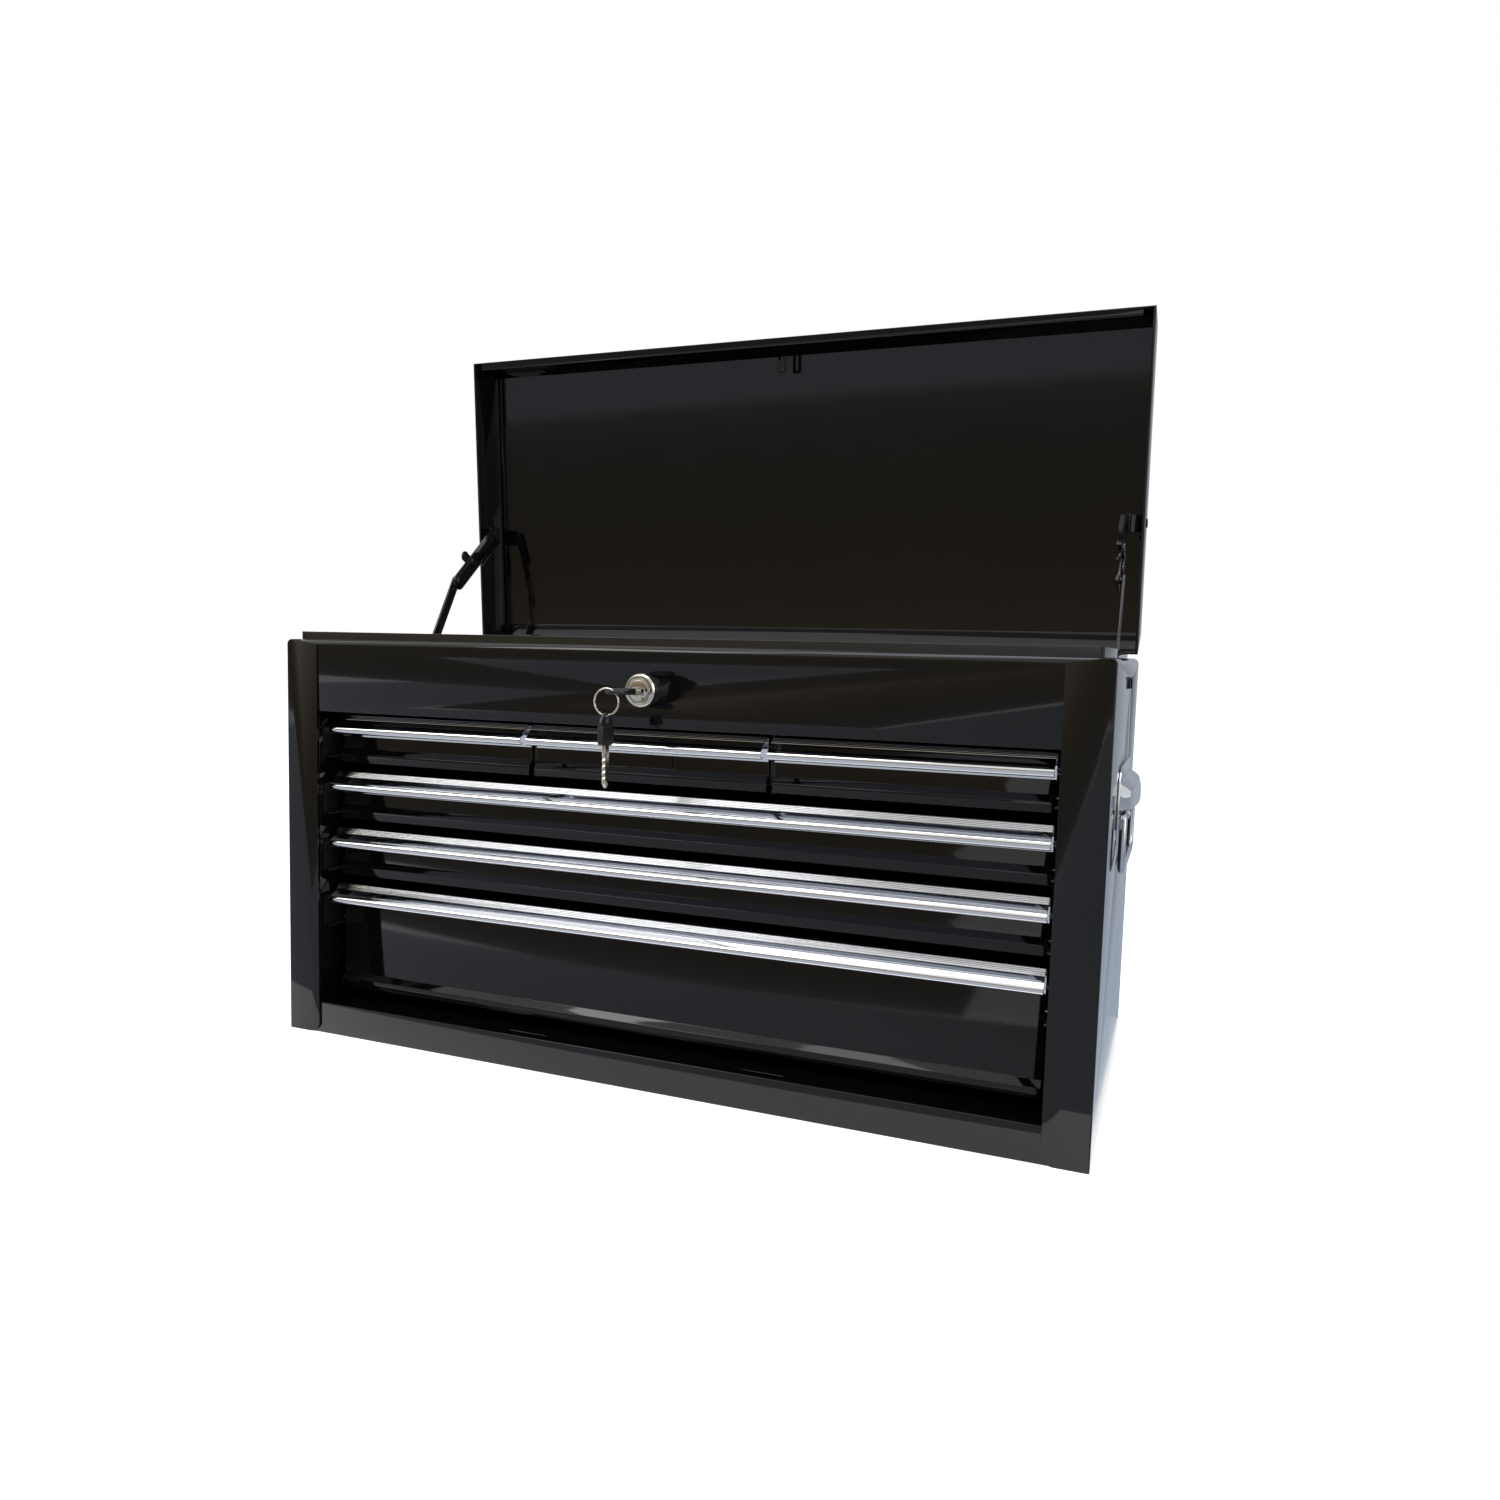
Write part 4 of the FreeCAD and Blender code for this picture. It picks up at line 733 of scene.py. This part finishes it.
# The room in front: dark at the horizon, warm above it and bright overhead.
ROOM_TONES: Tones = (
    (0.0, "#A8A59F"),
    (0.12, "#8C857A"),
    (0.30, "#8A7F6C"),
    (0.50, "#A8967C"),
    (0.75, "#D8CBB6"),
    (1.0, "#FFFFFF"),
)
# The pale wall behind: cool at its foot and neutral above.
BACK_TONES: Tones = ((0.0, "#A6B2C2"), (0.6, "#ACADB0"), (1.0, "#ACADB0"))
# The floor beside the chest: cool grey all over.
SIDE_TONES: Tones = ((0.0, "#A0ACBE"), (1.0, "#A6B2C2"))
# The floor in front: pale at the left and darker to the right.
FRONT_TONES: Tones = ((0.0, "#D2DAE4"), (0.55, "#B8BDC5"), (1.0, "#8A8E94"))


@dataclass
class Studio:
    """Pale floor, soft lamps and the camera at the photograph's viewing angle.

    Lengths are metres and angles are radians, unless a name says otherwise.
    """

    place_mm: Triple = (340.57, -831.04, 302.71)
    yaw: float = 0.39633
    pitch: float = -0.093497
    roll: float = 0.023421
    lens_mm: float = 28.006
    sensor_mm: float = 36.0
    shift: tuple[float, float] = (0.03125, 0.00645)
    nearest: float = 0.01
    floor_width: float = 40.0
    floor_height: float = -0.0002
    floor_colour: str = "#F4F4F4"
    floor_glow: float = 0.72
    sky_colour: str = "#E6ECF4"
    sky_strength: float = 0.55
    boards: tuple[Board, ...] = (
        Board("room_board", (-1.45, -3.0, 0.95), (5.2, 2.1), ROOM_TONES, turn_deg=-24.0),
        Board("back_board", (0.825, 0.2, 0.45), (1.35, 0.9), BACK_TONES),
        Board("side_floor_board", (0.9008, 0.02, 0.001), (1.2, 0.36), SIDE_TONES, tilt_deg=0.0),
        Board(
            "front_floor_board", (0.0, -1.72, 0.001), (3.1, 4.0), FRONT_TONES, turn_deg=-90.0, tilt_deg=0.0
        ),
    )
    lamps: tuple[Lamp, ...] = (
        Lamp("key_lamp", (-1.6, -2.2, 2.6), (1.8, 1.8), 46.0),
        Lamp("top_lamp", (0.3, -0.2, 3.0), (2.6, 1.6), 30.0, "#F4F8FF"),
        Lamp("side_lamp", (2.8, -1.2, 1.4), (1.2, 1.8), 14.0),
    )

    def camera(self) -> None:
        """Set the camera where the photograph was taken."""
        ahead = Vector((
            -math.sin(self.yaw) * math.cos(self.pitch),
            math.cos(self.yaw) * math.cos(self.pitch),
            math.sin(self.pitch),
        ))
        right = Vector((math.cos(self.yaw), math.sin(self.yaw), 0))
        upward = right.cross(ahead)
        turned_right = math.cos(self.roll) * right + math.sin(self.roll) * upward
        turned_up = -math.sin(self.roll) * right + math.cos(self.roll) * upward
        data = bpy.data.cameras.new("photo_camera")
        data.sensor_width = self.sensor_mm
        data.lens = self.lens_mm
        data.shift_x, data.shift_y = self.shift
        data.clip_start = self.nearest
        camera = bpy.data.objects.new("photo_camera", data)
        bpy.context.scene.collection.objects.link(camera)
        basis = Matrix((turned_right, turned_up, -ahead)).transposed().to_4x4()
        camera.matrix_world = Matrix.Translation(Vector(self.place_mm) * MM) @ basis
        bpy.context.scene.camera = camera

    def seen(self, tree: bpy.types.NodeTree) -> bpy.types.NodeSocket:
        """Add the test for what is seen straight, in a reflection or through something.

        Args:
            tree: The node tree that takes the test.

        Returns:
            One for camera, glossy and transmission rays and nought for the rest.
        """
        path = add_node(tree, "ShaderNodeLightPath")
        test = path.outputs["Is Camera Ray"]
        for ray in ("Is Glossy Ray", "Is Transmission Ray"):
            either = add_node(tree, "ShaderNodeMath", settings={"operation": "MAXIMUM"})
            tree.links.new(test, either.inputs[0])
            tree.links.new(path.outputs[ray], either.inputs[1])
            test = either.outputs[0]
        return test

    def floor(self) -> None:
        """Lay the pale floor, which is white to the eye and in reflections but keeps the shadow."""
        material, tree, output = new_material("pale_floor")
        matte = add_node(tree, "ShaderNodeBsdfDiffuse", values={"Color": linear(self.floor_colour)})
        glow = add_node(tree, "ShaderNodeEmission", values={"Color": WHITE})
        strength = add_node(tree, "ShaderNodeMath", settings={"operation": "MULTIPLY"})
        tree.links.new(self.seen(tree), strength.inputs[0])
        strength.inputs[1].default_value = self.floor_glow
        tree.links.new(strength.outputs[0], glow.inputs["Strength"])
        both = add_node(tree, "ShaderNodeAddShader")
        tree.links.new(matte.outputs["BSDF"], both.inputs[0])
        tree.links.new(glow.outputs["Emission"], both.inputs[1])
        tree.links.new(both.outputs["Shader"], output.inputs["Surface"])
        bpy.ops.object.select_all(action="DESELECT")
        bpy.ops.mesh.primitive_plane_add(size=self.floor_width, location=(0, 0, self.floor_height))
        ground = bpy.context.active_object
        ground.name = "floor"
        ground.data.materials.append(material)

    def sky(self) -> None:
        """Set the pale surroundings."""
        world = bpy.data.worlds.new("surroundings")
        bpy.context.scene.world = world
        world.use_nodes = True
        tree = world.node_tree
        tree.nodes.clear()
        light = add_node(
            tree,
            "ShaderNodeBackground",
            values={"Color": linear(self.sky_colour), "Strength": self.sky_strength},
        )
        white = add_node(tree, "ShaderNodeBackground", values={"Color": WHITE, "Strength": 1.0})
        mix = add_node(tree, "ShaderNodeMixShader", links={"Fac": self.seen(tree)})
        tree.links.new(light.outputs["Background"], mix.inputs[1])
        tree.links.new(white.outputs["Background"], mix.inputs[2])
        output = add_node(tree, "ShaderNodeOutputWorld")
        tree.links.new(mix.outputs["Shader"], output.inputs["Surface"])

    def build(self) -> None:
        """Set up the studio."""
        self.camera()
        self.floor()
        self.sky()
        for board in self.boards:
            board.stand()
        for lamp in self.lamps:
            lamp.hang()
        bpy.context.scene.view_settings.view_transform = "Standard"


def main() -> None:
    """Build the chest's looks in order and report each piece."""
    logging.basicConfig(level=logging.INFO, format="%(message)s")
    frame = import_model()
    sheets = Sheetwork(frame, Paintbox())
    for assembly in (
        ChestCase(sheets),
        DrawerBank(sheets),
        OpenLid(sheets),
        FoldingStays(sheets),
        CamLock(sheets),
        CarryHandles(sheets),
        Studio(),
    ):
        assembly.build()
        LOG.info("%s built", type(assembly).__name__)


if __name__ == "__main__":
    main()
